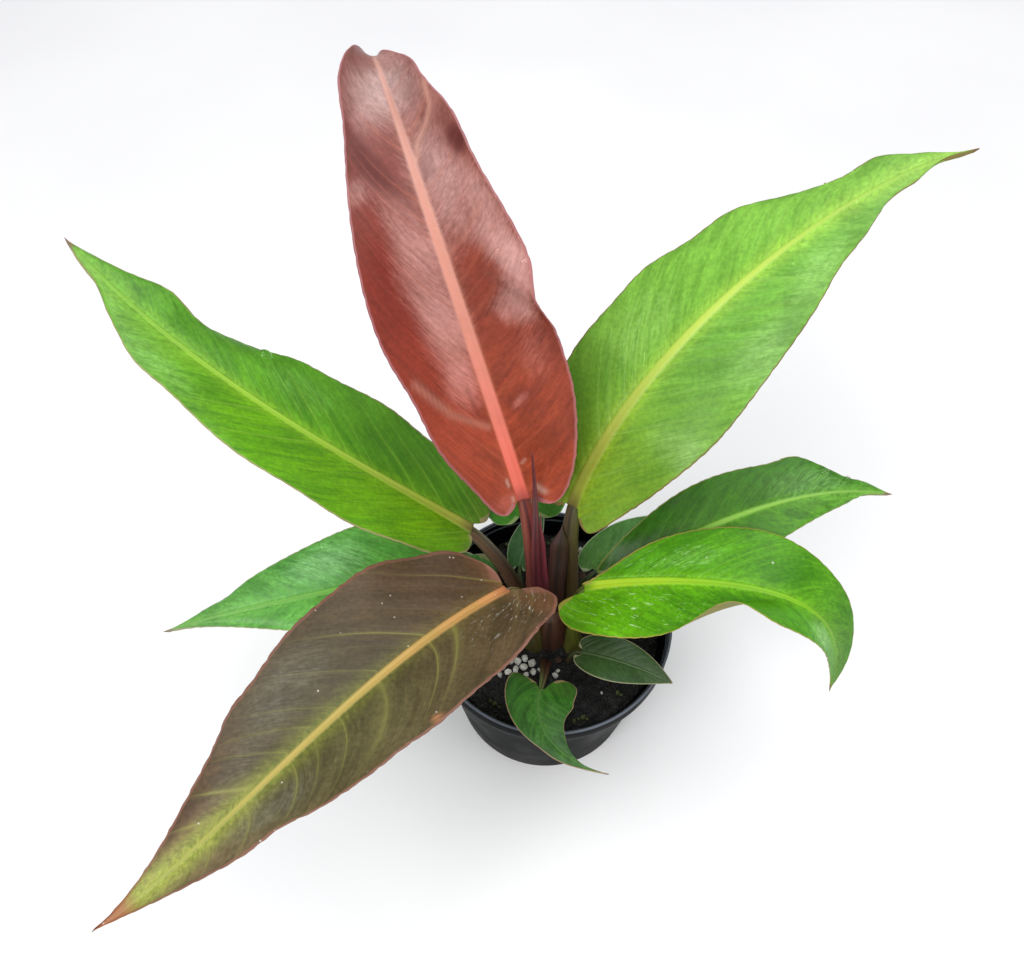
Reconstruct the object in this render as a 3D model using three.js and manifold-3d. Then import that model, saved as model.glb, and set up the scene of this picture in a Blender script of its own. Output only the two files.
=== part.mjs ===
// A potted red sun philodendron: a nursery pot of soil and one crown of twelve leaves.
// Millimetres, +Z up. The origin is the centre of the pot's flat underside.
import * as THREE from "three";
import { mergeVertices } from "three/addons/utils/BufferGeometryUtils.js";
import Module from "manifold-3d";

const wasm = await Module();
wasm.setup();

// Clear gap between two pieces that touch on the real plant
const GAP = 0.3;

// Gap cut round a stalk, a little wider so that its flat facets keep the gap too
const CLEARANCE = 0.36;

// Room beside a petiole's head between its blade's lobes
const NOTCH = 0.9;

// Pot: a moulded taper with a raised band round its rim
const POT = {
  height: 93,
  rimRadius: 65,
  bandHeight: 8.5,
  lip: 2.3,
  ledge: 5.5,
  bodyRadius: 61.6,
  baseRadius: 51,
  wall: 1.8,
  floor: 2.4,
  round: 0.9,
  drainRadius: 5,
  drainCircle: 36,
  drainCount: 6,
  sides: 48,
};

// Soil: a plug that fills the pot, gently mounded round the crown
const SOIL = { level: 79, edge: 77.5, mound: 3, moundSpread: 500, grain: 0.8, sides: 48, rings: 9 };
const GRIT = { count: 26, radius: 2, circle: 20, spread: 34, seed: 29 };

// Stem: the short crown inside the ring of petioles
const STEM = { foot: [0, -2, 52], top: [0, -3, 92], radius: 6.5 };

// Blade build. rows and columns: how the grid crowds towards the base and the midrib. keel: how
// the thick midrib thins towards the tip. lobe, notch and tip: how fast each fades along the blade.
const BLADE = {
  thickness: 0.9,
  edge: 0.7,
  rows: 1.6,
  columns: 1.5,
  keel: 0.7,
  lobe: 8,
  notch: 6,
  tip: 12,
};
const SIZES = {
  long: { rows: 20, columns: 7 },
  middle: { rows: 15, columns: 6 },
  small: { rows: 11, columns: 4 },
};

// Leaves. rib: control points of the midrib's curve, base to tip. face: the way the upper side
// looks. fold: degrees that the halves rise at the base, the middle and the tip. roll: degrees
// that the right half is turned up there. curl: how far the margins rise, in mm. wave: height,
// count and start of the margins' waves. Each half has its half width, the two powers of its
// outline, and its lobe's length and half width; dents widen or narrow it and lifts raise its
// margin, each as [place from lobe to tip, mm, spread]. petiole: where it stands, the points
// that it passes, its straight neck, and its half widths at the foot, the middle and the top.
const LEAVES = {
  red: {
    size: "long", colour: 0x8f3d30, stalk: 0x7a2f35, midrib: 2.4,
    rib: [[-15, 9, 189], [-34, 30, 257], [-57, 64, 321], [-79, 119, 353], [-77, 134, 324]],
    face: [0, -1, 0.35],
    roll: [-3, -3, -2], fold: [13, 11, 15], curl: 1.8,
    wave: { height: 0.8, count: 3.5, start: 0.2 },
    left: { width: 34.5, base: 0.84, tip: 1.12, lobe: 5, lobeHalf: 9,
      dents: [[0.3, -2.3, 0.08], [0.88, 1.5, 0.04]], lifts: [[0.83, 4, 0.05]] },
    right: { width: 36, base: 0.71, tip: 1.34, lobe: 3.5, lobeHalf: 11,
      dents: [[0.33, -1.2, 0.06], [0.42, -4.5, 0.045], [0.75, 4.2, 0.07]],
      lifts: [[0.42, 5, 0.05], [0.8, -5, 0.05]] },
    petiole: { root: [-3, 1, 70], way: [[-5, 9, 125]], neck: 14,
      wide: [6, 4.6, 2], deep: [4.5, 3.2, 1.9] },
  },
  green_right: {
    size: "long", colour: 0x7cba4c, stalk: 0x4a3a20, midrib: 2.4,
    rib: [[7, 9, 184], [28, 42, 249], [104, 81, 307], [159, 90, 314]],
    face: [0, -0.1, 1],
    roll: [4, 1, 4], fold: [14, -3, 8], curl: -1.2,
    wave: { height: 1.2, count: 4, start: 0.6 },
    left: { width: 36.5, base: 0.72, tip: 1.42, lobe: 3, lobeHalf: 8,
      dents: [[0.45, 4, 0.07], [0.62, 5, 0.07], [0.86, 7, 0.05], [0.93, 3, 0.03]], lifts: [] },
    right: { width: 39.5, base: 0.9, tip: 1.59, lobe: 8.5, lobeHalf: 11.5,
      dents: [[0.7, -1.5, 0.05], [0.83, -3.5, 0.05], [0.93, -5, 0.03]], lifts: [] },
    petiole: { root: [6, 2, 70], way: [[8, 14, 122]], neck: 14,
      wide: [6.5, 5, 2], deep: [4.5, 3.4, 1.9] },
  },
  green_left: {
    size: "long", colour: 0x4f9c30, stalk: 0x57472a, midrib: 2.3,
    rib: [[-39, 10, 162], [-96, 18, 211], [-152, 30, 245], [-201, 71, 283]],
    face: [0.1, -0.05, 1],
    roll: [3, -12, 4], fold: [13, 11, 6], curl: -1.8,
    wave: { height: 1.2, count: 4, start: 0.1 },
    left: { width: 35, base: 0.72, tip: 1.33, lobe: 2, lobeHalf: 6.5,
      dents: [[0.5, 1.3, 0.08], [0.75, 3.5, 0.06], [0.9, -3, 0.04]], lifts: [] },
    right: { width: 34.5, base: 0.65, tip: 1.1, lobe: 7, lobeHalf: 10,
      dents: [[0.6, -3.5, 0.06], [0.72, -4.5, 0.06], [0.82, 2.5, 0.05]], lifts: [[0.66, -5, 0.07]] },
    petiole: { root: [-8, 2, 70], way: [[-15, 9, 112]], neck: 12,
      wide: [5.5, 4.4, 2], deep: [4, 3.2, 1.8] },
  },
  bronze: {
    size: "long", colour: 0x5e5340, stalk: 0x5a5526, midrib: 2.5,
    rib: [[-22, -28, 173], [-82, -76, 197], [-119, -138, 192], [-163, -166, 182]],
    face: [0, 0, 1],
    roll: [-19, -1, 3], fold: [15, 14, 6], curl: 1,
    wave: { height: 1.2, count: 4.5, start: 0.3 },
    left: { width: 38.5, base: 0.48, tip: 1.29, lobe: 8, lobeHalf: 11.5,
      dents: [[0.45, -1.5, 0.05], [0.68, -2.5, 0.05]], lifts: [] },
    right: { width: 40, base: 0.64, tip: 1.53, lobe: 1.5, lobeHalf: 10.5,
      dents: [[0.6, 2.3, 0.05]], lifts: [] },
    petiole: { root: [-6, -10, 70], way: [[-9, -12, 112], [-13, -17, 150]], neck: 10,
      wide: [5.5, 4.4, 2.1], deep: [4, 3.2, 1.9] },
  },
  arched_right: {
    size: "long", colour: 0x5aa80e, stalk: 0x5f6a22, midrib: 2.2,
    rib: [[15, -8, 139], [51, -10, 155], [97, -18, 164], [137, -25, 171], [136, -46, 104]],
    face: [0.1, -0.2, 1],
    roll: [3, 14, 1], fold: [12, 8, 6], curl: -0.2,
    wave: { height: 0.8, count: 3, start: 0.4 },
    left: { width: 31, base: 1.1, tip: 1.48, lobe: 6.5, lobeHalf: 4,
      dents: [[0.75, 1.3, 0.06]], lifts: [] },
    right: { width: 31, base: 0.61, tip: 1.41, lobe: 13, lobeHalf: 8.5,
      dents: [[0.45, -9, 0.08], [0.62, -1, 0.06]], lifts: [[0.47, 13, 0.12]] },
    petiole: { root: [8, -9, 70], way: [[11, -10, 104]], neck: 9,
      wide: [5.5, 4.2, 1.9], deep: [4, 3, 1.7] },
  },
  back_right: {
    size: "middle", colour: 0x3f7f24, stalk: 0x55602a, midrib: 1.8,
    rib: [[31, 3, 132], [78, 21, 155], [125, 38, 165], [171, 40, 150]],
    face: [0, -0.2, 1],
    roll: [0, -4, 1], fold: [12, 8, 6], curl: -1.7,
    wave: { height: 1, count: 3, start: 0.8 },
    left: { width: 22.5, base: 0.71, tip: 0.98, lobe: 12.5, lobeHalf: 7.5,
      dents: [[0.7, 4, 0.06], [0.85, -2.5, 0.05]], lifts: [] },
    right: { width: 24, base: 0.71, tip: 1.46, lobe: 12, lobeHalf: 8,
      dents: [[0.9, -2, 0.05]], lifts: [] },
    petiole: { root: [13, 2, 70], way: [[17, 2, 106]], neck: 10,
      wide: [4, 3, 1.5], deep: [3.4, 2.4, 1.4] },
  },
  low_left: {
    size: "middle", colour: 0x5aa85a, stalk: 0x7d9a4a, midrib: 1.8,
    rib: [[-45, 16, 130], [-88, -8, 133], [-139, -13, 135], [-190, -25, 121]],
    face: [0, -0.2, 1],
    roll: [0, 2, -2], fold: [12, 9, 6], curl: -2.8,
    wave: { height: 1, count: 3, start: 0.5 },
    left: { width: 29, base: 0.48, tip: 1.58, lobe: 12, lobeHalf: 8, dents: [], lifts: [] },
    right: { width: 29.5, base: 0.73, tip: 1.42, lobe: 11.5, lobeHalf: 8,
      dents: [[0.8, -1.7, 0.05]], lifts: [] },
    petiole: { root: [-13, -4, 70], way: [[-24, 8, 102]], neck: 9,
      wide: [4, 3, 1.5], deep: [3.4, 2.4, 1.4] },
  },
  behind_red: {
    size: "middle", colour: 0x4f9440, stalk: 0x6a6a30, midrib: 1.8,
    rib: [[-13, 27, 153], [-22, 50, 189], [-35, 86, 222], [-52, 127, 236]],
    face: [0, -0.9, 0.5],
    roll: [0, 0, 0], fold: [12, 9, 6], curl: 1,
    wave: { height: 1, count: 3, start: 0.1 },
    left: { width: 23, base: 0.6, tip: 1.3, lobe: 5, lobeHalf: 9, dents: [], lifts: [] },
    right: { width: 25, base: 0.6, tip: 1.3, lobe: 5, lobeHalf: 9, dents: [], lifts: [] },
    petiole: { root: [-2, 12, 70], way: [[-7, 20, 112]], neck: 9,
      wide: [3.6, 2.8, 1.5], deep: [3.2, 2.4, 1.4] },
  },
  small_front: {
    size: "small", colour: 0x2f7030, stalk: 0x4b3a26, midrib: 1,
    rib: [[-5, -44, 100], [-10, -64, 107], [2, -83, 107], [26, -87, 104]],
    face: [0, -0.3, 1],
    roll: [-1, 20, 30], fold: [12, 8, 6], curl: -0.8,
    wave: { height: 0.4, count: 2, start: 0 },
    left: { width: 16.6, base: 0.35, tip: 2.12, lobe: 5, lobeHalf: 8.3,
      dents: [[0.4, 3, 0.08], [0.7, -3.5, 0.08]], lifts: [] },
    right: { width: 16.3, base: 0.43, tip: 2.1, lobe: 4, lobeHalf: 6.4,
      dents: [[0.5, -1.3, 0.1]], lifts: [] },
    petiole: { root: [-1, -17, 70], way: [[-2, -24, 94]], neck: 4,
      wide: [2.6, 2, 0.8], deep: [2, 1.5, 0.8] },
  },
  small_right: {
    size: "small", colour: 0x3f6340, stalk: 0x4b4a30, midrib: 0.9,
    rib: [[15, -26, 104], [31, -31, 108], [45, -37, 110], [59, -44, 108]],
    face: [0, -0.3, 1],
    roll: [0, 0, 0], fold: [10, 8, 6], curl: -0.2,
    wave: { height: 0.4, count: 2, start: 0.3 },
    left: { width: 11.2, base: 0.58, tip: 1.03, lobe: 1.5, lobeHalf: 3, dents: [], lifts: [] },
    right: { width: 11.1, base: 0.58, tip: 1.02, lobe: 3, lobeHalf: 2.5, dents: [], lifts: [] },
    petiole: { root: [10, -19, 70], way: [[10, -21, 94]], neck: 4,
      wide: [2.2, 1.6, 0.75], deep: [1.8, 1.3, 0.75] },
  },
  small_back: {
    size: "small", colour: 0x4a7a58, stalk: 0x55603a, midrib: 0.9,
    rib: [[-16, 27, 96], [-14, 38, 100], [-9, 48, 104], [-3, 58, 105]],
    face: [-0.3, -0.5, 1],
    roll: [0, 0, 0], fold: [10, 8, 6], curl: 0.3,
    wave: { height: 0.4, count: 2, start: 0.6 },
    left: { width: 8.5, base: 0.6, tip: 0.9, lobe: 2, lobeHalf: 3, dents: [], lifts: [] },
    right: { width: 8.5, base: 0.6, tip: 0.9, lobe: 2, lobeHalf: 3, dents: [], lifts: [] },
    petiole: { root: [-11, 14, 70], way: [[-15, 18, 88]], neck: 4,
      wide: [2, 1.5, 0.75], deep: [1.8, 1.3, 0.75] },
  },
  grey_right: {
    size: "small", colour: 0x4a7a58, stalk: 0x55603a, midrib: 1,
    rib: [[24, 18, 108], [40, 32, 112], [56, 44, 112], [72, 54, 108]],
    face: [0, -0.3, 1],
    roll: [0, 0, 0], fold: [10, 8, 6], curl: 0.3,
    wave: { height: 0.5, count: 2, start: 0.2 },
    left: { width: 14, base: 0.5, tip: 1.2, lobe: 5, lobeHalf: 4.5, dents: [], lifts: [] },
    right: { width: 14, base: 0.5, tip: 1.2, lobe: 5, lobeHalf: 4.5, dents: [], lifts: [] },
    petiole: { root: [8, 15, 70], way: [[14, 15, 98]], neck: 5,
      wide: [2.4, 1.8, 0.8], deep: [2, 1.5, 0.8] },
  },
};

// The rolled new leaf in front of the red petiole, and the dry sheath beside the right one
const SPEAR = {
  path: [[-3.5, -6, 88], [-8, 1, 120], [-10, 1, 150], [-9, 0, 180], [-11.5, 10, 216]],
  wide: [2.6, 2.2, 0.45],
  deep: [1.6, 1.3, 0.4],
  colour: 0x6b2530,
};
const SHEATH = {
  path: [[0.5, -6, 86], [-1, 2, 118], [0.5, 6, 148], [1, 9, 165]],
  wide: [4.2, 3.6, 0.5],
  deep: [1.2, 0.9, 0.4],
  colour: 0x5a2a2c,
};

const RING_SIDES = 8;
const RING_STEPS = 10;

// Point on a curve with any number of control points
function curvePoint(points, t) {
  let level = points.map((p) => new THREE.Vector3(...p));
  while (level.length > 1) {
    level = level.slice(1).map((p, i) => level[i].clone().lerp(p, t));
  }
  return level[0];
}

// A curve measured along its length, running straight on past both ends
class Rib {
  constructor(points, steps = 96) {
    this.points = Array.from({ length: steps + 1 }, (_, i) => curvePoint(points, i / steps));
    this.lengths = [0];
    for (let i = 1; i <= steps; i++) {
      this.lengths.push(this.lengths[i - 1] + this.points[i].distanceTo(this.points[i - 1]));
    }
    this.length = this.lengths[steps];
  }

  tangentAt(i) {
    const last = this.points.length - 1;
    const before = this.points[Math.max(i - 1, 0)];
    const after = this.points[Math.min(i + 1, last)];
    return after.clone().sub(before).normalize();
  }

  at(along) {
    const inside = Math.min(Math.max(along, 0), this.length);
    let i = this.lengths.findIndex((length) => length >= inside);
    i = Math.max(i, 1);
    const share = (inside - this.lengths[i - 1]) / (this.lengths[i] - this.lengths[i - 1]);
    const tangent = this.tangentAt(i - 1).lerp(this.tangentAt(i), share).normalize();
    const point = this.points[i - 1].clone().lerp(this.points[i], share);
    return { point: point.addScaledVector(tangent, along - inside), tangent };
  }
}

// Smooth value through three stations: base, middle and tip
function through([base, middle, tip], x) {
  const s = Math.min(Math.max(x, 0), 1);
  return base * (1 - s) * (1 - 2 * s) + 4 * middle * s * (1 - s) + tip * s * (2 * s - 1);
}

// Sum of smooth bumps, each [place, height, spread]
function bumps(list, x) {
  const one = ([place, height, spread]) => height * Math.exp(-(((x - place) / spread) ** 2));
  return list.reduce((sum, bump) => sum + one(bump), 0);
}

// Half width of one side of a blade, from its lobe's end (0) to the tip (1)
function halfWidth(side, x) {
  const widest = side.base / (side.base + side.tip);
  let width = side.width * (x / widest) ** side.base * ((1 - x) / (1 - widest)) ** side.tip;
  width += side.lobeHalf * (1 - x) ** BLADE.lobe;
  return width + bumps(side.dents, x) * (1 - x ** BLADE.tip);
}

// Where the point in row s, a share t out from the midrib, lies in the flat blade
function flatPoint(side, length, notch, s, t) {
  const x = s ** BLADE.rows;
  const edgeAlong = -side.lobe + x * (length + side.lobe);
  const edgeAcross = halfWidth(side, x);
  const still = Math.min(0.9, notch / Math.max(edgeAcross, notch)) * (1 - s) ** BLADE.notch;
  const sweep = Math.max(0, (t - still) / (1 - still)) ** (0.8 + 0.2 * s);
  const ribAlong = length * s;
  return { along: ribAlong + (edgeAlong - ribAlong) * sweep, across: edgeAcross * t };
}

// The blade's own axes at a place along its rib
function bladeFrame(leaf, rib, along) {
  const { point, tangent } = rib.at(along);
  const face = new THREE.Vector3(...leaf.face);
  const normal = face.addScaledVector(tangent, -face.dot(tangent)).normalize();
  const roll = THREE.MathUtils.degToRad(through(leaf.roll, along / rib.length));
  normal.applyAxisAngle(tangent, -roll);
  const right = tangent.clone().cross(normal);
  return { point, tangent, normal, right };
}

// Place a flat blade point in space and say how thick the blade is there
function bladePoint(leaf, rib, sign, s, t) {
  const side = sign > 0 ? leaf.right : leaf.left;
  const { along, across } = flatPoint(side, rib.length, leaf.midrib + NOTCH, s, t);
  const frame = bladeFrame(leaf, rib, along);
  const station = along / rib.length;
  const fold = THREE.MathUtils.degToRad(through(leaf.fold, station));
  const out = t ** 2;
  const turns = leaf.wave.count * s + leaf.wave.start + sign * 0.2;
  const wave = leaf.wave.height * Math.sin(2 * Math.PI * turns) * (1 - s ** 4) * Math.min(1, 6 * s);
  const raised = leaf.curl + bumps(side.lifts, s ** BLADE.rows);
  const lift = across * Math.sin(fold) + raised * out + wave * t ** 3;
  const top = frame.point.clone()
    .addScaledVector(frame.right, sign * across * Math.cos(fold))
    .addScaledVector(frame.normal, lift);
  const ribWide = leaf.midrib * (1 - 0.75 * s) + 0.3;
  const ribDeep = 2 * leaf.midrib * (1 - s) ** BLADE.keel;
  const shell = BLADE.thickness + (BLADE.edge - BLADE.thickness) * out;
  const thickness = shell + ribDeep * Math.exp(-((across / ribWide) ** 4));
  return { top, under: top.clone().addScaledVector(frame.normal, -thickness) };
}

// Closed geometry from a list of points and triangles, faces outward
function closedGeometry(points, triangles) {
  const volume = triangles.reduce((sum, [a, b, c]) => {
    const cross = points[b].clone().cross(points[c]);
    return sum + points[a].dot(cross);
  }, 0);
  const index = triangles.flatMap(([a, b, c]) => (volume > 0 ? [a, b, c] : [a, c, b]));
  const geometry = new THREE.BufferGeometry();
  const position = points.flatMap((p) => p.toArray());
  geometry.setAttribute("position", new THREE.Float32BufferAttribute(position, 3));
  geometry.setIndex(index);
  return geometry;
}

// A leaf blade: a thin arched solid with a keel under its midrib and one point at the tip
function bladeGeometry(leaf) {
  const rib = new Rib(leaf.rib);
  const { rows, columns } = SIZES[leaf.size];
  const spots = Array.from({ length: 2 * columns + 1 }, (_, j) => {
    const share = (j - columns) / columns;
    return { sign: Math.sign(share) || 1, t: Math.abs(share) ** BLADE.columns };
  });
  const points = [];
  for (const key of ["top", "under"]) {
    for (let i = 0; i < rows; i++) {
      for (const spot of spots) {
        points.push(bladePoint(leaf, rib, spot.sign, i / rows, spot.t)[key]);
      }
    }
  }
  const wide = spots.length;
  const layer = rows * wide;
  const tipTop = points.push(bladePoint(leaf, rib, 1, 1, 0).top) - 1;
  const tipUnder = points.push(bladePoint(leaf, rib, 1, 1, 0).under) - 1;
  const triangles = [];
  const strip = (a, b, c, d) => triangles.push([a, b, c], [a, c, d]);
  for (let i = 0; i < rows - 1; i++) {
    for (let j = 0; j < wide - 1; j++) {
      const a = i * wide + j;
      const quad = [a, a + 1, a + wide + 1, a + wide];
      if (j >= columns) {
        quad.push(quad.shift());
      }
      strip(...quad);
      const [p, q, r, o] = quad.map((k) => k + layer);
      triangles.push([p, r, q], [p, o, r]);
    }
  }
  const last = (rows - 1) * wide;
  for (let j = 0; j < wide - 1; j++) {
    triangles.push([last + j, last + j + 1, tipTop]);
    triangles.push([last + layer + j + 1, last + layer + j, tipUnder]);
    strip(j, layer + j, layer + j + 1, j + 1);
  }
  for (let i = 0; i < rows - 1; i++) {
    const left = i * wide;
    const right = left + wide - 1;
    strip(left, left + wide, left + wide + layer, left + layer);
    strip(right, right + layer, right + wide + layer, right + wide);
  }
  const right = last + wide - 1;
  strip(last, tipTop, tipUnder, last + layer);
  strip(right, right + layer, tipUnder, tipTop);
  return closedGeometry(points, triangles);
}

// A stalk: oval rings along a curve, closed at both ends. side is the rings' wide way.
function stalkGeometry({ path, wide, deep, side }, grow = 0) {
  const curve = new Rib(path);
  const points = [];
  for (let i = 0; i <= RING_STEPS; i++) {
    const station = i / RING_STEPS;
    const along = curve.length * station + grow * (2 * station - 1);
    const { point, tangent } = curve.at(along);
    const across = side.clone().addScaledVector(tangent, -side.dot(tangent)).normalize();
    const out = tangent.clone().cross(across);
    for (let k = 0; k < RING_SIDES; k++) {
      const angle = (2 * Math.PI * (k + 0.5)) / RING_SIDES;
      const spot = point.clone()
        .addScaledVector(across, Math.cos(angle) * (through(wide, station) + grow))
        .addScaledVector(out, Math.sin(angle) * (through(deep, station) + grow));
      points.push(spot);
    }
  }
  const foot = points.push(curve.at(-grow).point) - 1;
  const head = points.push(curve.at(curve.length + grow).point) - 1;
  const triangles = [];
  for (let k = 0; k < RING_SIDES; k++) {
    const next = (k + 1) % RING_SIDES;
    for (let i = 0; i < RING_STEPS; i++) {
      const a = i * RING_SIDES;
      const b = a + RING_SIDES;
      triangles.push([a + k, a + next, b + next], [a + k, b + next, b + k]);
    }
    const end = RING_STEPS * RING_SIDES;
    triangles.push([foot, next, k], [head, end + k, end + next]);
  }
  return closedGeometry(points, triangles);
}

// A leaf's petiole runs from the crown up to the foot of its midrib
function petioleShape(leaf) {
  const rib = new Rib(leaf.rib);
  const base = bladeFrame(leaf, rib, 0);
  const { root, way, neck, wide, deep } = leaf.petiole;
  const head = base.point.clone()
    .addScaledVector(base.normal, -leaf.midrib)
    .addScaledVector(base.tangent, -GAP);
  const bend = head.clone().addScaledVector(base.tangent, -neck);
  return { path: [root, ...way, bend.toArray(), head.toArray()], wide, deep, side: base.right };
}

// Solids for joining and cutting
function toSolid(geometry) {
  const bare = geometry.clone();
  bare.deleteAttribute("normal");
  bare.deleteAttribute("uv");
  const merged = mergeVertices(bare, 1e-5);
  const mesh = new wasm.Mesh({
    numProp: 3,
    vertProperties: new Float32Array(merged.attributes.position.array),
    triVerts: new Uint32Array(merged.index.array),
  });
  return new wasm.Manifold(mesh);
}

function toGeometry(solid) {
  const mesh = solid.getMesh();
  const geometry = new THREE.BufferGeometry();
  const position = new Float32Array(mesh.vertProperties);
  geometry.setAttribute("position", new THREE.BufferAttribute(position, 3));
  geometry.setIndex(new THREE.BufferAttribute(new Uint32Array(mesh.triVerts), 1));
  return geometry;
}

// Turned profile about Z, closed on the axis or on itself
function turned(profile, sides) {
  const geometry = new THREE.LatheGeometry(profile.map(([r, z]) => new THREE.Vector2(r, z)), sides);
  return geometry.rotateX(Math.PI / 2);
}

// Pot: outer face up to the rim, over it, and down the inside
function potGeometry() {
  const { height, rimRadius, bandHeight, lip, ledge, bodyRadius, baseRadius, wall, floor, round } = POT;
  const band = height - bandHeight;
  const profile = [
    [0, 0],
    [baseRadius - round, 0],
    [baseRadius, round],
    [bodyRadius, band],
    [rimRadius - round, band],
    [rimRadius, band + round],
    [rimRadius, height - round],
    [rimRadius - round, height],
    [rimRadius - lip, height],
    [rimRadius - lip, height - ledge],
    [bodyRadius - wall, band - wall],
    [baseRadius - wall, floor],
    [0, floor],
  ];
  const { drainRadius, drainCircle, drainCount, sides } = POT;
  let pot = toSolid(turned(profile, sides));
  for (let i = 0; i < drainCount; i++) {
    const angle = (2 * Math.PI * i) / drainCount;
    const hole = new THREE.CylinderGeometry(drainRadius, drainRadius, 3 * floor, 12);
    hole.rotateX(Math.PI / 2);
    hole.translate(drainCircle * Math.cos(angle), drainCircle * Math.sin(angle), 0);
    pot = pot.subtract(toSolid(hole));
  }
  return toGeometry(pot);
}

// Uneven height of the soil's surface
function soilHeight(x, y) {
  const { level, mound, moundSpread, grain } = SOIL;
  const lumps = Math.sin(0.31 * x + 1) * Math.cos(0.27 * y) + 0.6 * Math.sin(0.73 * x - 0.61 * y);
  return level + mound * Math.exp(-(x * x + y * y) / moundSpread) + grain * lumps;
}

// Repeatable random numbers between 0 and 1
function dice(seed) {
  let state = seed;
  return () => {
    state = (state * 16807) % 2147483647;
    return state / 2147483647;
  };
}

// Soil: a disc with an uneven top, sunk in the pot, with grit standing out of its surface
function soilGeometry() {
  const { edge, sides, rings } = SOIL;
  const { height, bandHeight, bodyRadius, baseRadius, wall, floor } = POT;
  const footRadius = baseRadius - wall - GAP;
  const slope = (bodyRadius - baseRadius) / (height - bandHeight - wall - floor);
  const edgeRadius = footRadius + slope * (edge - floor);
  const points = [new THREE.Vector3(0, 0, soilHeight(0, 0))];
  const triangles = [];
  for (let i = 1; i <= rings + 1; i++) {
    for (let k = 0; k < sides; k++) {
      const angle = (2 * Math.PI * k) / sides;
      const foot = i > rings;
      const radius = foot ? footRadius : (edgeRadius * i) / rings;
      const x = radius * Math.cos(angle);
      const y = radius * Math.sin(angle);
      const top = i === rings ? edge : soilHeight(x, y);
      points.push(new THREE.Vector3(x, y, foot ? floor + GAP : top));
    }
  }
  const bottom = points.push(new THREE.Vector3(0, 0, floor + GAP)) - 1;
  for (let k = 0; k < sides; k++) {
    const next = (k + 1) % sides;
    triangles.push([0, 1 + k, 1 + next]);
    for (let i = 0; i < rings; i++) {
      const a = 1 + i * sides;
      const b = a + sides;
      triangles.push([a + k, b + k, b + next], [a + k, b + next, a + next]);
    }
    const end = 1 + rings * sides;
    triangles.push([bottom, end + next, end + k]);
  }
  let soil = toSolid(closedGeometry(points, triangles));
  const roll = dice(GRIT.seed);
  for (let i = 0; i < GRIT.count; i++) {
    const radius = GRIT.circle + GRIT.spread * Math.sqrt(roll());
    const angle = 2 * Math.PI * roll();
    const size = GRIT.radius * (0.6 + 0.5 * roll());
    const x = radius * Math.cos(angle);
    const y = radius * Math.sin(angle);
    const grit = new THREE.OctahedronGeometry(size);
    grit.rotateX(roll() * Math.PI);
    grit.rotateZ(roll() * Math.PI);
    grit.translate(x, y, soilHeight(x, y) + 0.1 * size);
    soil = soil.add(toSolid(grit));
  }
  return soil;
}

// Assembly
const plant = new THREE.Group();

function place(name, geometry, colour, roughness) {
  const material = new THREE.MeshStandardMaterial({ color: colour, roughness, metalness: 0 });
  const mesh = new THREE.Mesh(geometry, material);
  mesh.name = name;
  plant.add(mesh);
}

place("pot", potGeometry(), 0x2f2f30, 0.45);

const across = new THREE.Vector3(1, 0, 0);
const even = [STEM.radius, STEM.radius, STEM.radius];
const stem = { path: [STEM.foot, STEM.top], wide: even, deep: even, side: across };
const stalks = [
  ["stem", stem, 0x5a5526],
  ["sheath", { ...SHEATH, side: across }, SHEATH.colour],
  ["new_leaf_spear", { ...SPEAR, side: across }, SPEAR.colour],
];
for (const [name, leaf] of Object.entries(LEAVES)) {
  stalks.push([`petiole_${name}`, petioleShape(leaf), leaf.stalk]);
}

// Each stalk is cut clear of the ones before it, and the soil is cut clear of them all
let soil = soilGeometry();
const grown = [];
for (const [name, shape, colour] of stalks) {
  let solid = toSolid(stalkGeometry(shape));
  for (const other of grown) {
    solid = solid.subtract(other);
  }
  place(name, toGeometry(solid), colour, 0.5);
  grown.push(toSolid(stalkGeometry(shape, CLEARANCE)));
  soil = soil.subtract(grown.at(-1));
}
place("soil", toGeometry(soil), 0x17171a, 0.95);

for (const [name, leaf] of Object.entries(LEAVES)) {
  place(`leaf_${name}`, bladeGeometry(leaf), leaf.colour, 0.35);
}

export default plant;
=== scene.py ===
"""Looks of a potted red sun philodendron: its pot, soil, crown, stalks and leaves.

Every finished piece is in metres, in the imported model's own frame: +Z up, the origin at the centre
of the pot's flat underside. The plant's growth is written in millimetres, and MM makes it metres.
"""
import logging
import math
from collections.abc import Iterable, Sequence
from dataclasses import dataclass, field
from enum import Enum
from functools import cache
from typing import Any

import bpy
import numpy as np
from mathutils import Matrix, Vector, noise


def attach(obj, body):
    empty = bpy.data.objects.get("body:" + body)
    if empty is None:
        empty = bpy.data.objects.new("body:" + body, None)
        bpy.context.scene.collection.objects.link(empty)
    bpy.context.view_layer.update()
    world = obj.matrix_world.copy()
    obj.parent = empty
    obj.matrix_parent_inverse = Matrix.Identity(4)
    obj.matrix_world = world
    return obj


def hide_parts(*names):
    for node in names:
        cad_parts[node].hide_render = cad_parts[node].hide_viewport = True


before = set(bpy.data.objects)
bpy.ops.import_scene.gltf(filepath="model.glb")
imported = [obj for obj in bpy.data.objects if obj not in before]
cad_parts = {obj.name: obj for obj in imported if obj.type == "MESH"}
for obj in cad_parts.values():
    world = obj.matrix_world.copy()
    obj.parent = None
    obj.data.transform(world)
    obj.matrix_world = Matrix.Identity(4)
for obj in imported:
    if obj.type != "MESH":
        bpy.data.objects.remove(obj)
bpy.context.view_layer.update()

LOG = logging.getLogger("philodendron")
MM = 0.001

Socket = bpy.types.NodeSocket
Tree = bpy.types.NodeTree
Material = bpy.types.Material
Piece = bpy.types.Object
Array = np.ndarray
Pair = tuple[float, float]
Triple = tuple[float, float, float]
Bump = tuple[float, float, float]
Codes = tuple[str, str, str]


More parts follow.
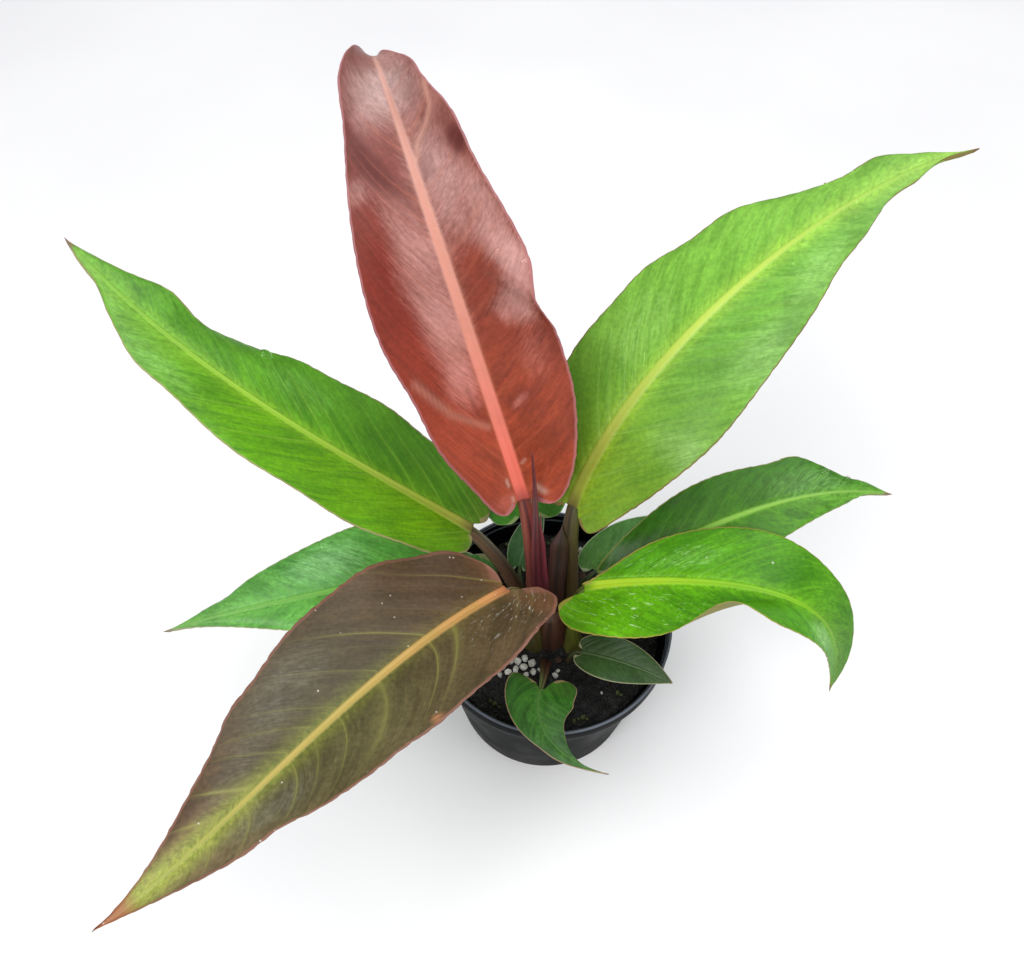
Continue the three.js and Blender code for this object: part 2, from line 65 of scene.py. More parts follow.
class Slot(str, Enum):
    """Names of the material slots."""

    POT = "pot_plastic"
    SOIL = "soil"
    RED = "leaf_red"
    GREEN = "leaf_green"
    DEEP = "leaf_deep_green"
    BRONZE = "leaf_bronze"
    DARK = "leaf_dark"
    MAROON = "stalk_maroon"
    OLIVE = "stalk_olive"


class Grid(Enum):
    """How fine a blade's mesh is: rows along it, and columns on each side of its midrib."""

    LONG = (190, 34)
    MIDDLE = (140, 28)
    SMALL = (90, 22)


# Numbers and colours


def linear(code: str) -> tuple[float, float, float, float]:
    """Turn a hex colour into the linear values that shaders read.

    Args:
        code: Six hex digits, such as "8f3d30".

    Returns:
        Red, green, blue and alpha, with alpha 1.
    """
    shown = [int(code[i : i + 2], 16) / 255 for i in (0, 2, 4)]
    red, green, blue = (((c + 0.055) / 1.055) ** 2.4 if c > 0.04045 else c / 12.92 for c in shown)
    return red, green, blue, 1.0


def through(stations: Triple, place: Array) -> Array:
    """Smooth value through three stations.

    Args:
        stations: Values at the base, the middle and the tip.
        place: Shares of the way from the base to the tip.

    Returns:
        The value at each place.
    """
    base, middle, tip = stations
    s = np.clip(place, 0, 1)
    return base * (1 - s) * (1 - 2 * s) + 4 * middle * s * (1 - s) + tip * s * (2 * s - 1)


def bumps(listed: Sequence[Bump], place: Array) -> Array:
    """Sum of smooth bumps.

    Args:
        listed: Each bump's place, height and spread.
        place: Shares of the way from the lobe's end to the tip.

    Returns:
        The bumps' height at each place.
    """
    total = np.zeros_like(place)
    for centre, height, spread in listed:
        total += height * np.exp(-(((place - centre) / spread) ** 2))
    return total


def unit(vectors: Array) -> Array:
    """Vectors scaled to length one."""
    return vectors / np.linalg.norm(vectors, axis=-1, keepdims=True)


def soft_step(value: Array, low: float, high: float) -> Array:
    """Smooth rise from 0 at low to 1 at high."""
    x = np.clip((value - low) / (high - low), 0, 1)
    return x * x * (3 - 2 * x)


# Meshes


@dataclass
class Shell:
    """A closed mesh in the making: points in millimetres, faces, and named values at the points."""

    points: Array
    faces: list[tuple[int, ...]]
    values: dict[str, Array] = field(default_factory=dict)

    def volume(self) -> float:
        """Six times the signed volume, which is positive where the faces look outward."""
        total = 0.0
        for face in self.faces:
            a, b = self.points[face[0]], self.points[face[1]]
            for corner in face[2:]:
                c = self.points[corner]
                total += float(np.dot(a, np.cross(b, c)))
                b = c
        return total

    def piece(self, name: str, material: Material) -> Piece:
        """Make the Blender object.

        Args:
            name: The object's name.
            material: Its material.

        Returns:
            The object, at the origin, with its place in its mesh.
        """
        mesh = bpy.data.meshes.new(name)
        turned = self.faces if self.volume() > 0 else [face[::-1] for face in self.faces]
        mesh.from_pydata((self.points * MM).tolist(), [], turned)
        for key, value in self.values.items():
            layer = mesh.attributes.new(key, "FLOAT_VECTOR", "POINT")
            layer.data.foreach_set("vector", value.astype(np.float32).ravel())
        mesh.materials.append(material)
        mesh.polygons.foreach_set("use_smooth", [True] * len(mesh.polygons))
        mesh.validate()
        mesh.update()
        return link(name, mesh)


def link(name: str, mesh: bpy.types.Mesh) -> Piece:
    """Put a mesh in the scene as an object of its own."""
    piece = bpy.data.objects.new(name, mesh)
    bpy.context.scene.collection.objects.link(piece)
    return piece


def seat(piece: Piece, node: str = "") -> Piece:
    """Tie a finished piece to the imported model.

    Args:
        piece: The finished object.
        node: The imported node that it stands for, if there is one.

    Returns:
        The piece.
    """
    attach(piece, "root")
    if node:
        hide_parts(node)
    LOG.info("%s: %d faces", piece.name, len(piece.data.polygons))
    return piece


# Shader graphs

# The middle of a random value's range, where most of its run lies
NOISE_MIDDLE = (0.3, 0.7)


class Graph:
    """A node tree in the making, with short calls for the nodes that the finishes use."""

    def __init__(self, tree: Tree) -> None:
        """Keep the tree that the calls add to."""
        self.tree = tree

    def node(self, kind: str, feeds: dict[int | str, Any] | None = None, **settings: Any) -> bpy.types.Node:
        """Add a node.

        Args:
            kind: The node's type.
            feeds: A socket or a plain value for each input, by its name or number.
            **settings: The node's own settings.

        Returns:
            The node.
        """
        made = self.tree.nodes.new(kind)
        for key, value in settings.items():
            setattr(made, key, value)
        for key, value in (feeds or {}).items():
            self.feed(made.inputs[key], value)
        return made

    def output(self, kind: str, feeds: dict[int | str, Any] | None = None, **settings: Any) -> Socket:
        """Add a node, as node does, and give its first output."""
        return self.node(kind, feeds, **settings).outputs[0]

    def feed(self, socket: Socket, value: Any) -> None:
        """Link a socket to an input, or set the input to a plain value."""
        if isinstance(value, Socket):
            self.tree.links.new(value, socket)
        else:
            socket.default_value = value

    def math(self, operation: str, a: Any, b: Any = 0.0, c: Any = 0.0) -> Socket:
        """Result of one sum on numbers."""
        return self.output("ShaderNodeMath", {0: a, 1: b, 2: c}, operation=operation)

    def product(self, first: Any, *others: Any) -> Any:
        """Product of several numbers."""
        for other in others:
            first = self.math("MULTIPLY", first, other)
        return first

    def mix(self, share: Any, a: Any, b: Any, blend: str = "MIX") -> Socket:
        """Mix two colours.

        Args:
            share: How much of the second colour there is.
            a: The first colour.
            b: The second colour.
            blend: Blender's name for the way they mix.

        Returns:
            The mixed colour.
        """
        feeds = {0: share, 6: a, 7: b}
        made = self.node("ShaderNodeMix", feeds, data_type="RGBA", blend_type=blend)
        return made.outputs[2]

    def step(self, value: Any, low: float, high: float, start: float = 0.0, end: float = 1.0) -> Socket:
        """Smooth rise from start, where the value is low, to end, where it is high."""
        feeds = {0: value, 1: low, 2: high, 3: start, 4: end}
        return self.output("ShaderNodeMapRange", feeds, interpolation_type="SMOOTHSTEP")

    def swing(self, value: Socket, start: float = 0.0, end: float = 1.0) -> Socket:
        """Smooth run from start to end over the middle of a random value's range."""
        return self.step(value, *NOISE_MIDDLE, start, end)

    def vector(self, x: Any = 0.0, y: Any = 0.0, z: Any = 0.0) -> Socket:
        """A vector of three numbers."""
        return self.output("ShaderNodeCombineXYZ", {0: x, 1: y, 2: z})

    def noise(self, place: Socket, scale: float, detail: float = 2.0, rough: float = 0.5) -> Socket:
        """Smooth random value, from 0 to 1, at a place."""
        feeds = {"Vector": place, "Scale": scale, "Detail": detail, "Roughness": rough}
        return self.output("ShaderNodeTexNoise", feeds)

    def tinted(self, colour: Any, code: str, *shares: Any) -> Socket:
        """A colour mixed towards a hex colour by the product of the shares."""
        return self.mix(self.product(*shares), colour, linear(code))

    def brightened(self, colour: Socket, factor: Socket) -> Socket:
        """A colour made lighter or darker by a factor."""
        feeds = {"Hue": 0.5, "Saturation": 1.0, "Value": factor, "Fac": 1.0, "Color": colour}
        return self.output("ShaderNodeHueSaturation", feeds)

    def body_place(self) -> Socket:
        """The place on the piece, in metres."""
        return self.node("ShaderNodeTexCoord").outputs["Object"]

    def values(self, name: str) -> tuple[Socket, Socket, Socket]:
        """The three numbers that a piece keeps under a name at its points."""
        read = self.node("ShaderNodeAttribute", attribute_name=name)
        parts = self.node("ShaderNodeSeparateXYZ", {0: read.outputs["Vector"]}).outputs
        return parts[0], parts[1], parts[2]

    def ramp(self, place: Any, codes: Sequence[str], stops: Sequence[float] = (0.0, 0.5, 1.0)) -> Socket:
        """Colour that runs through several stops.

        Args:
            place: Where along the ramp.
            codes: Hex colours.
            stops: Each colour's place.

        Returns:
            The colour.
        """
        made = self.node("ShaderNodeValToRGB", {0: place})
        made.color_ramp.interpolation = "EASE"
        elements = made.color_ramp.elements
        while len(elements) < len(codes):
            elements.new(0.5)
        for element, stop, code in zip(elements, stops, codes):
            element.position = stop
            element.color = linear(code)
        return made.outputs[0]

    def group(self, tree: Tree, feeds: dict[str, Any]) -> Any:
        """Place a node group with its inputs fed, and give its outputs."""
        return self.node("ShaderNodeGroup", feeds, node_tree=tree).outputs

    def relief(self, height: Socket, depth: float, strength: float = 1.0) -> Socket:
        """Normal of a surface whose height goes up to a depth in millimetres."""
        feeds = {"Height": height, "Distance": depth * MM, "Strength": strength}
        return self.output("ShaderNodeBump", feeds)


def new_group(name: str, inputs: dict[str, float], outputs: Sequence[str]) -> tuple[Graph, Any, Any]:
    """Start a shader node group with named numbers in and out.

    Args:
        name: The group's name.
        inputs: Each input's name and default.
        outputs: The outputs' names.

    Returns:
        The graph, its input sockets and its output sockets.
    """
    tree = bpy.data.node_groups.new(name, "ShaderNodeTree")
    for key, value in inputs.items():
        socket = tree.interface.new_socket(key, in_out="INPUT", socket_type="NodeSocketFloat")
        socket.default_value = value
    for key in outputs:
        tree.interface.new_socket(key, in_out="OUTPUT", socket_type="NodeSocketFloat")
    graph = Graph(tree)
    return graph, graph.node("NodeGroupInput").outputs, graph.node("NodeGroupOutput").inputs


# How far apart the two halves and the single veins lie in the veins' noise
HALVES_APART = 3.1
ROWS_APART = 3.7

# A vein's core and its soft skirt: their reach in vein widths, and their strength
VEIN_CORE = (1.0, 0.65)
VEIN_SKIRT = (3.2, 0.35)

# Noise drawn out along the veins: waves per millimetre across them, waves from rib to margin, detail
BROAD_BANDS = (0.12, 1.4, 3.0)
WIDE_STREAKS = (0.36, 3.5, 3.0)
FINE_STREAKS = (0.85, 10.0, 2.0)
WIDE_SHARE = 0.42
VEIN_SUNK = 0.4


@cache
def vein_group() -> Tree:
    """Side veins and the streaks between them, from a vein count that runs along the blade.

    Returns:
        A group whose outputs are the veins' mask, broad bands, streaks and the surface's height.
    """
    inputs = {"Phase": 0.0, "Side": 0.0, "Width": 0.12, "Gap": 8.0, "Seed": 0.0}
    outputs = ("Line", "Band", "Streak", "Height")
    graph, given, given_out = new_group("leaf_veins", inputs, outputs)
    share = graph.math("ABSOLUTE", given["Side"])
    half = graph.math("MULTIPLY_ADD", graph.math("SIGN", given["Side"]), HALVES_APART, given["Seed"])

    def along_veins(per_millimetre: float, per_share: float, detail: float) -> Socket:
        """Noise that is drawn out along the veins."""
        across = graph.product(given["Phase"], given["Gap"], per_millimetre)
        return graph.noise(graph.vector(across, graph.product(share, per_share), half), 1.0, detail, 0.6)

    slim = graph.math("DIVIDE", graph.math("PINGPONG", given["Phase"], 0.5), given["Width"])
    core, skirt = (graph.step(slim, 0.0, reach, most, 0.0) for reach, most in (VEIN_CORE, VEIN_SKIRT))
    line = graph.math("ADD", core, skirt)
    row = graph.product(graph.math("ROUND", given["Phase"]), ROWS_APART)
    strength = graph.step(graph.noise(graph.vector(row, half, 0.0), 1.3), 0.38, 0.66)
    near_rib = graph.step(share, 0.35, 0.95, 1.0, 0.15)
    band = along_veins(*BROAD_BANDS)
    wide = graph.product(along_veins(*WIDE_STREAKS), WIDE_SHARE)
    fine = graph.product(along_veins(*FINE_STREAKS), 1 - WIDE_SHARE)
    streak = graph.math("ADD", wide, fine)
    height = graph.math("SUBTRACT", streak, graph.product(line, VEIN_SUNK))
    results = (graph.product(line, graph.product(strength, near_rib)), band, streak, height)
    for key, value in zip(outputs, results):
        graph.feed(given_out[key], value)
    return graph.tree


@cache
def speckle_group() -> Tree:
    """Small scattered flecks, such as dust and water marks, at places on the piece.

    Returns:
        A group whose output is the flecks' mask.
    """
    inputs = {"Per metre": 300.0, "Size": 0.2, "Amount": 0.5}
    graph, given, given_out = new_group("flecks", inputs, ("Mask",))
    feeds = {"Vector": graph.body_place(), "Scale": given["Per metre"]}
    cells = graph.node("ShaderNodeTexVoronoi", feeds, feature="F1").outputs
    chance = graph.output("ShaderNodeTexWhiteNoise", {0: cells["Color"]}, noise_dimensions="3D")
    present = graph.math("LESS_THAN", chance, given["Amount"])
    inside = graph.math("DIVIDE", cells["Distance"], given["Size"])
    graph.feed(given_out["Mask"], graph.product(present, graph.step(inside, 0.5, 1.0, 1.0, 0.0)))
    return graph.tree


@cache
def scuff_group() -> Tree:
    """Short pale scratches that lie along a blade's side veins.

    Returns:
        A group whose output is the scratches' mask.
    """
    inputs = {"Phase": 0.0, "Side": 0.0, "Across veins": 16.0, "Along veins": 9.0}
    graph, given, given_out = new_group("scuffs", inputs, ("Mask",))
    x = graph.product(given["Phase"], given["Across veins"])
    y = graph.product(given["Side"], given["Along veins"])
    torn = graph.noise(graph.vector(x, y, 4.2), 1.0, 3.0, 0.65)
    graph.feed(given_out["Mask"], graph.step(torn, 0.6, 0.68))
    return graph.tree


@cache
def mottle_group() -> Tree:
    """Cloudy unevenness of colour and gloss, at places on the piece.

    Returns:
        A group whose outputs are broad clouds and a fine grain, both about 0.5.
    """
    graph, given, given_out = new_group("mottle", {"Clouds": 40.0, "Grain": 900.0}, ("Cloud", "Grain"))
    place = graph.body_place()
    graph.feed(given_out["Cloud"], graph.noise(place, given["Clouds"], 3.0, 0.55))
    graph.feed(given_out["Grain"], graph.noise(place, given["Grain"], 2.0, 0.5))
    return graph.tree


class Paint(Graph):
    """A material in the making."""

    def __init__(self, name: str) -> None:
        """Start a material of this name."""
        self.material = bpy.data.materials.new(name)
        self.material.use_nodes = True
        super().__init__(self.material.node_tree)

    def finish(self, feeds: dict[str, Any]) -> Material:
        """Feed the shader's inputs, and give the finished material."""
        shader = self.tree.nodes["Principled BSDF"]
        for key, value in feeds.items():
            self.feed(shader.inputs[key], value)
        return self.material


# Finishes


@dataclass(frozen=True)
class LeafFinish:
    """Colours and gloss of one blade.

    left, lamina, rib, halo and the pale patches' colours run from the base over the middle to the tip:
    left and lamina are the two halves, whose colours differ by painted light and shade, and halo the
    tint beside the rib. foot colours the rib's base, where the stalk begins. deep is the tint of the
    darker bands along the side veins, edge the one towards the margin and rim the thin line on it.
    The pale patches are painted sheen, and shade colours the dark patches, which are mostly painted
    shade; mark colours the blade's few strong veins, scuff its pale scratches and dust its flecks.
    """

    lamina: Codes
    rib: Codes
    halo: Codes
    deep: str
    vein: str
    rim: str
    under: str
    edge: str
    # The left half's ramp differs from the lamina's by painted light and shade, as the light falls on that
    # half.
    left: Codes | None = None
    foot: str = "6a4a30"
    scuff: str = "e4e6dc"
    scuff_size: Pair = (16.0, 9.0)
    tip: str = "7a5a3c"
    mark: str = "b08070"
    # The pale patches' colours are painted sheen.
    painted_sheen: Codes = ("b0a8a0",) * 3
    # The dark patches' colour is mostly painted shade.
    shade: str = "202010"
    dust: str = "d9d6cc"
    halo_width: float = 9.0
    halo_share: Pair = (0.6, 0.6)
    deep_share: float = 0.5
    edge_share: float = 0.3
    vein_share: float = 0.3
    vein_width: float = 0.11
    rim_width: float = 0.55
    rim_share: float = 0.75
    streak: float = 0.16
    grain: float = 0.1
    tip_start: float = 0.96
    roughness: float = 0.38
    specular: float = 0.26
    flecks: float = 0.0
    fleck_size: float = 0.2
    seed: float = 0.0

    # Clouds, grain and flecks in a metre, and how strong the flecks, the tip and the foot's tint are
    MOTTLE = {"Clouds": 45.0, "Grain": 560.0}
    FLECKS_PER_METRE = 260.0
    FLECK_SHARE = 0.6
    TIP_SHARE = 0.9
    FOOT_ON_LAMINA = 0.14
    FOOT_ON_RIB = 0.9

    # Shares of the blade: the foot's reach and the halves' blend, then how fast the edge's tint fades
    FOOT_REACH = 0.05
    HALF_BLEND = 0.02
    EDGE_POWER = 2.2

    # Where the deep bands start and are full, and how far the clouds push them
    DEEP_RANGE = (0.74, 0.5)
    CLOUD_PUSH = 0.3

    # What the clouds, the underside and a glossy patch add to the roughness
    CLOUD_ROUGH = 0.14
    UNDER_ROUGH = 0.2
    PATCH_ROUGH = -0.16

    # The relief's depth in millimetres, its strength and the grain's part in it
    RELIEF = (0.12, 0.8)
    GRAIN_HEIGHT = 0.12

    def material(self, name: str, vein_gap: float) -> Material:
        """Build the blade's material.

        Args:
            name: The material's name.
            vein_gap: The millimetres between two side veins.

        Returns:
            The material.
        """
        graph = Paint(name)
        along, across, rim = graph.values("blade")
        phase, side, under = graph.values("veins")
        painted_sheen, shade, rib = graph.values("patches")
        mark, gloss, scuffed = graph.values("marks")
        feeds = {"Phase": phase, "Side": side, "Width": self.vein_width, "Gap": vein_gap, "Seed": self.seed}
        veins = graph.group(vein_group(), feeds)
        mottle = graph.group(mottle_group(), self.MOTTLE)
        streak = veins["Streak"]
        colour = graph.ramp(along, self.lamina)
        # Painted light and shade: the left half gets its own lighter or darker ramp, as the light falls on
        # it.
        if self.left:
            on_left = graph.step(side, self.HALF_BLEND, -self.HALF_BLEND)
            colour = graph.mix(on_left, colour, graph.ramp(along, self.left))
        out = graph.math("POWER", graph.math("ABSOLUTE", side), self.EDGE_POWER)
        colour = graph.tinted(colour, self.edge, out, self.edge_share)
        dark = graph.math("MULTIPLY_ADD", mottle["Cloud"], self.CLOUD_PUSH, veins["Band"])
        dark = graph.step(dark, *self.DEEP_RANGE, 0.0, self.deep_share)
        colour = graph.tinted(colour, self.deep, dark)
        colour = self.haloed(graph, colour, along, across, streak)
        # Pale patches of painted sheen, with their edges torn along the side veins.
        colour = graph.mix(self.torn(graph, painted_sheen, streak), colour, graph.ramp(along, self.painted_sheen))
        # Dark patches, mostly painted shade, torn the same way.
        colour = graph.tinted(colour, self.shade, self.torn(graph, shade, streak))
        colour = self.streaked(graph, colour, streak, mottle)
        colour = graph.tinted(colour, self.vein, veins["Line"], self.vein_share)
        colour = graph.tinted(colour, self.mark, mark)
        colour = self.footed(graph, colour, along, self.FOOT_ON_LAMINA)
        colour = graph.mix(rib, colour, self.ribbed(graph, along, mottle["Cloud"]))
        across_veins, along_veins = self.scuff_size
        feeds = {"Phase": phase, "Side": side, "Across veins": across_veins, "Along veins": along_veins}
        scratch = graph.group(scuff_group(), feeds)["Mask"]
        colour = graph.tinted(colour, self.scuff, scratch, scuffed)
        edge_line = graph.step(rim, self.rim_width * 0.4, self.rim_width, self.rim_share, 0.0)
        colour = graph.tinted(colour, self.rim, edge_line)
        tipped = graph.step(along, self.tip_start, 0.5 + 0.5 * self.tip_start, 0.0, self.TIP_SHARE)
        colour = graph.tinted(colour, self.tip, tipped)
        colour = graph.mix(under, colour, self.underside(graph, veins, rib))
        if self.flecks:
            feeds = {"Per metre": self.FLECKS_PER_METRE, "Size": self.fleck_size, "Amount": self.flecks}
            spots = graph.group(speckle_group(), feeds)["Mask"]
            colour = graph.tinted(colour, self.dust, spots, self.FLECK_SHARE)
        least = self.roughness - self.CLOUD_ROUGH / 2
        dull = graph.math("MULTIPLY_ADD", mottle["Cloud"], self.CLOUD_ROUGH, least)
        dull = graph.math("MULTIPLY_ADD", gloss, self.PATCH_ROUGH, dull)
        height = graph.math("MULTIPLY_ADD", mottle["Grain"], self.GRAIN_HEIGHT, veins["Height"])
        return graph.finish({
            "Base Color": colour, "Roughness": graph.math("MULTIPLY_ADD", under, self.UNDER_ROUGH, dull),
            "Normal": graph.relief(height, *self.RELIEF), "Specular IOR Level": self.specular,
        })

    def haloed(self, graph: Graph, colour: Socket, along: Socket, across: Socket, streak: Socket) -> Socket:
        """Tint the lamina beside the rib.

        Args:
            graph: The material's graph.
            colour: The lamina's colour.
            along: The place from base to tip.
            across: The distance from the rib, in millimetres.
            streak: The streaks along the veins, which break the tint up.

        Returns:
            The tinted colour.
        """
        near = graph.step(graph.math("ABSOLUTE", across), self.halo_width, 0.5)
        near = graph.math("POWER", near, 1.6)
        share = graph.step(along, 0.1, 0.9, *self.halo_share)
        torn = graph.step(streak, 0.25, 0.6, 0.55, 1.0)
        return graph.mix(graph.product(near, share, torn), colour, graph.ramp(along, self.halo))

    def torn(self, graph: Graph, patch: Socket, streak: Socket) -> Socket:
        """A patch's mask with its soft edge torn into streaks along the side veins."""
        pushed = graph.math("ADD", patch, graph.math("MULTIPLY_ADD", streak, 0.9, -0.45))
        return graph.product(graph.step(pushed, 0.0, 1.15), graph.step(patch, 0.0, 0.2))

    def streaked(self, graph: Graph, colour: Socket, streak: Socket, mottle: Any) -> Socket:
        """Lighten and darken a colour along the side veins and in soft clouds."""
        bright = graph.step(streak, 0.32, 0.68, 1 - self.streak, 1 + self.streak)
        cloud = graph.swing(mottle["Cloud"], 1 - 0.5 * self.streak, 1 + 0.5 * self.streak)
        grain = graph.swing(mottle["Grain"], 1 - self.grain, 1 + self.grain)
        return graph.brightened(colour, graph.product(bright, cloud, grain))

    def footed(self, graph: Graph, colour: Socket, along: Socket, share: float) -> Socket:
        """Tint a colour towards the foot's, near the blade's base."""
        return graph.tinted(colour, self.foot, graph.step(along, self.FOOT_REACH, 0.0, 0.0, share))

    def ribbed(self, graph: Graph, along: Socket, cloud: Socket) -> Socket:
        """Colour of the rib, with clouds of the halo's tint."""
        clouds = graph.step(cloud, 0.4, 0.75, 0.0, 0.3)
        colour = graph.tinted(graph.ramp(along, self.rib), self.halo[1], clouds)
        return self.footed(graph, colour, along, self.FOOT_ON_RIB)

    def underside(self, graph: Graph, veins: Any, rib: Socket) -> Socket:
        """Paler, duller colour of the blade's lower face, with its rib and veins."""
        pale = graph.tinted(linear(self.under), self.vein, veins["Line"], 0.5)
        return graph.tinted(pale, self.rib[1], rib)


@dataclass(frozen=True)
class StalkFinish:
    """Colours of one stalk from its foot to its head and of its left side, and the painted shade down its
    groove.
    """

    body: Codes
    left: str
    # The groove's dark colour is painted shade in that recess.
    groove: str
    left_share: float = 0.5
    roughness: float = 0.42

    # Clouds and grain in a metre, and streaks round the stalk and along it
    MOTTLE = {"Clouds": 120.0, "Grain": 1500.0}
    STREAKS_ROUND = 9.0
    STREAKS_ALONG = 2.5

    # How far the streaks and the grain lighten and darken the stalk
    STREAK_SWING = (0.72, 1.22)
    GRAIN_SWING = (-0.1, 0.1)

    # Strength of the groove's painted shade, the clouds' part in the roughness, the relief's depth and
    # strength
    GROOVE_SHARE = 0.75
    CLOUD_ROUGH = 0.2
    RELIEF = (0.1, 0.6)

    def material(self, name: str) -> Material:
        """Build the stalk's material.

        Args:
            name: The material's name.

        Returns:
            The material.
        """
        graph = Paint(name)
        station, sideways, outward = graph.values("stalk")
        mottle = graph.group(mottle_group(), self.MOTTLE)
        round_it = graph.product(sideways, self.STREAKS_ROUND)
        place = graph.vector(round_it, outward, graph.product(station, self.STREAKS_ALONG))
        streak = graph.noise(place, 1.6, 3.0, 0.6)
        on_left = graph.step(sideways, 0.15, -0.65)
        colour = graph.tinted(graph.ramp(station, self.body), self.left, on_left, self.left_share)
        streaks = graph.swing(streak, *self.STREAK_SWING)
        colour = graph.brightened(colour,
                                  graph.math("ADD", streaks,
                                             graph.swing(mottle["Grain"], *self.GRAIN_SWING)))
        # Painted shade down the groove on the stalk's front.
        front = graph.step(outward, -0.55, -0.95)
        middle = graph.step(graph.math("ABSOLUTE", sideways), 0.28, 0.08)
        colour = graph.tinted(colour, self.groove, front, middle, self.GROOVE_SHARE)
        least = self.roughness - self.CLOUD_ROUGH / 2
        height = graph.math("MULTIPLY_ADD", streak, 0.6, mottle["Grain"])
        return graph.finish({
            "Base Color": colour, "Normal": graph.relief(height, *self.RELIEF),
            "Roughness": graph.math("MULTIPLY_ADD", mottle["Cloud"], self.CLOUD_ROUGH, least),
        })


@dataclass(frozen=True)
class PotFinish:
    """Black moulded plastic with faint turning lines, painted glints on the rim's edges, and dust.

    Each of the rings is a rim edge with a painted glint of light on it: its radius, height and half width.
    """

    name: str = "moulded_black_plastic"
    body: str = "08090a"
    cloud: str = "101113"
    # Colour of the painted glints of light on the rim's edges.
    painted_glint: str = "767c88"
    dust: str = "6c6a66"
    rings: tuple[Triple, ...] = ((64.3, 92.8, 0.7), (62.9, 92.2, 0.5), (62.7, 87.5, 0.7), (64.8, 84.8, 0.6))
    roughness: Pair = (0.34, 0.5)
    refraction: float = 1.07
    line_stretch: float = 0.15
    lines_per_metre: float = 900.0
    painted_glint_share: float = 0.7
    dust_share: float = 0.6
    relief: Pair = (0.06, 0.5)

    MOTTLE = {"Clouds": 28.0, "Grain": 1100.0}
    FLECKS = {"Per metre": 220.0, "Size": 0.16, "Amount": 0.06}

    def material(self) -> Material:
        """Build the pot's material.

        Returns:
            The material.
        """
        graph = Paint(self.name)
        mottle = graph.group(mottle_group(), self.MOTTLE)
        x, y, z = graph.node("ShaderNodeSeparateXYZ", {0: graph.body_place()}).outputs
        stretched = graph.vector(graph.product(x, self.line_stretch), graph.product(y, self.line_stretch),
                                 z)
        lines = graph.noise(stretched, self.lines_per_metre, 2.0, 0.6)
        radius = graph.math("SQRT", graph.math("MULTIPLY_ADD", x, x, graph.product(y, y)))
        # Painted glints of light on the rim's edges, one ring at a time.
        painted_glints: Any = 0.0
        for ring, height, half in self.rings:
            aside = graph.math("ABSOLUTE", graph.math("SUBTRACT", radius, ring * MM))
            away = graph.math("ABSOLUTE", graph.math("SUBTRACT", z, height * MM))
            near = graph.step(graph.math("ADD", aside, away), 1.6 * half * MM, 0.6 * half * MM)
            painted_glints = graph.math("MAXIMUM", painted_glints, near)
        clouds = graph.step(mottle["Cloud"], 0.35, 0.75, 0.0, 0.45)
        colour = graph.tinted(linear(self.body), self.cloud, clouds)
        colour = graph.tinted(colour, self.painted_glint, painted_glints, self.painted_glint_share)
        specks = graph.group(speckle_group(), self.FLECKS)["Mask"]
        colour = graph.tinted(colour, self.dust, specks, self.dust_share)
        height = graph.math("MULTIPLY_ADD", mottle["Grain"], 0.5, lines)
        return graph.finish({
            "Base Color": colour, "Roughness": graph.swing(mottle["Cloud"], *self.roughness),
            "Normal": graph.relief(height, *self.relief), "IOR": self.refraction,
        })


@dataclass(frozen=True)
class EarthFinish:
    """Loose matter on and in the soil: one dark and one light colour, mixed by clouds and grain."""

    name: str
    dark: str
    light: str
    roughness: float
    clouds: float = 160.0
    grain: float = 900.0
    depth: float = 0.5
    gloss: float = 0.2

    def material(self) -> Material:
        """Build the material.

        Returns:
            The material.
        """
        graph = Paint(self.name)
        mottle = graph.group(mottle_group(), {"Clouds": self.clouds, "Grain": self.grain})
        share = graph.product(graph.swing(mottle["Cloud"]), graph.step(mottle["Grain"], 0.25, 0.75))
        return graph.finish({
            "Base Color": graph.tinted(linear(self.dark), self.light, share),
            "Roughness": graph.swing(mottle["Cloud"], self.roughness, self.roughness - self.gloss),
            "Normal": graph.relief(mottle["Grain"], self.depth),
        })


@dataclass(frozen=True)
class WaterFinish:
    """Clear water for the drops, which cast no shadow on the blade that they lie on."""

    name: str = "water"
    refraction: float = 1.33
    roughness: Pair = (0.0, 0.03)
    clouds: float = 300.0

    def material(self) -> Material:
        """Build the material.

        Returns:
            The material.
        """
        graph = Paint(self.name)
        cloud = graph.noise(graph.body_place(), self.clouds)
        shadow = graph.node("ShaderNodeLightPath").outputs["Is Shadow Ray"]
        return graph.finish({
            "Roughness": graph.swing(cloud, *self.roughness), "IOR": self.refraction,
            "Alpha": graph.math("SUBTRACT", 1.0, shadow), "Transmission Weight": 1.0,
        })


# Growth


class Rib:
    """A curve measured along its length, running straight on past both ends."""

    STEPS = 384

    def __init__(self, controls: Sequence[Sequence[float]]) -> None:
        """Trace the curve through its control points."""
        level = np.array(controls, float)[:, None, :]
        t = np.linspace(0, 1, self.STEPS + 1)[None, :, None]
        while len(level) > 1:
            level = level[:-1] * (1 - t) + level[1:] * t
        self.points = level[0]
        steps = np.linalg.norm(np.diff(self.points, axis=0), axis=1)
        self.lengths = np.concatenate([[0], np.cumsum(steps)])
        self.length = float(self.lengths[-1])
        self.tangents = unit(np.gradient(self.points, axis=0))

    def at(self, along: Array) -> tuple[Array, Array]:
        """Points and directions of the curve.

        Args:
            along: Distances along it, which may lie past its ends.

        Returns:
            The points, and the directions there.
        """
        inside = np.clip(along, 0, self.length)
        i = np.clip(np.searchsorted(self.lengths, inside), 1, self.STEPS)
        share = ((inside - self.lengths[i - 1]) / (self.lengths[i] - self.lengths[i - 1]))[..., None]
        tangent = unit(self.tangents[i - 1] * (1 - share) + self.tangents[i] * share)
        point = self.points[i - 1] * (1 - share) + self.points[i] * share
        return point + tangent * (along - inside)[..., None], tangent


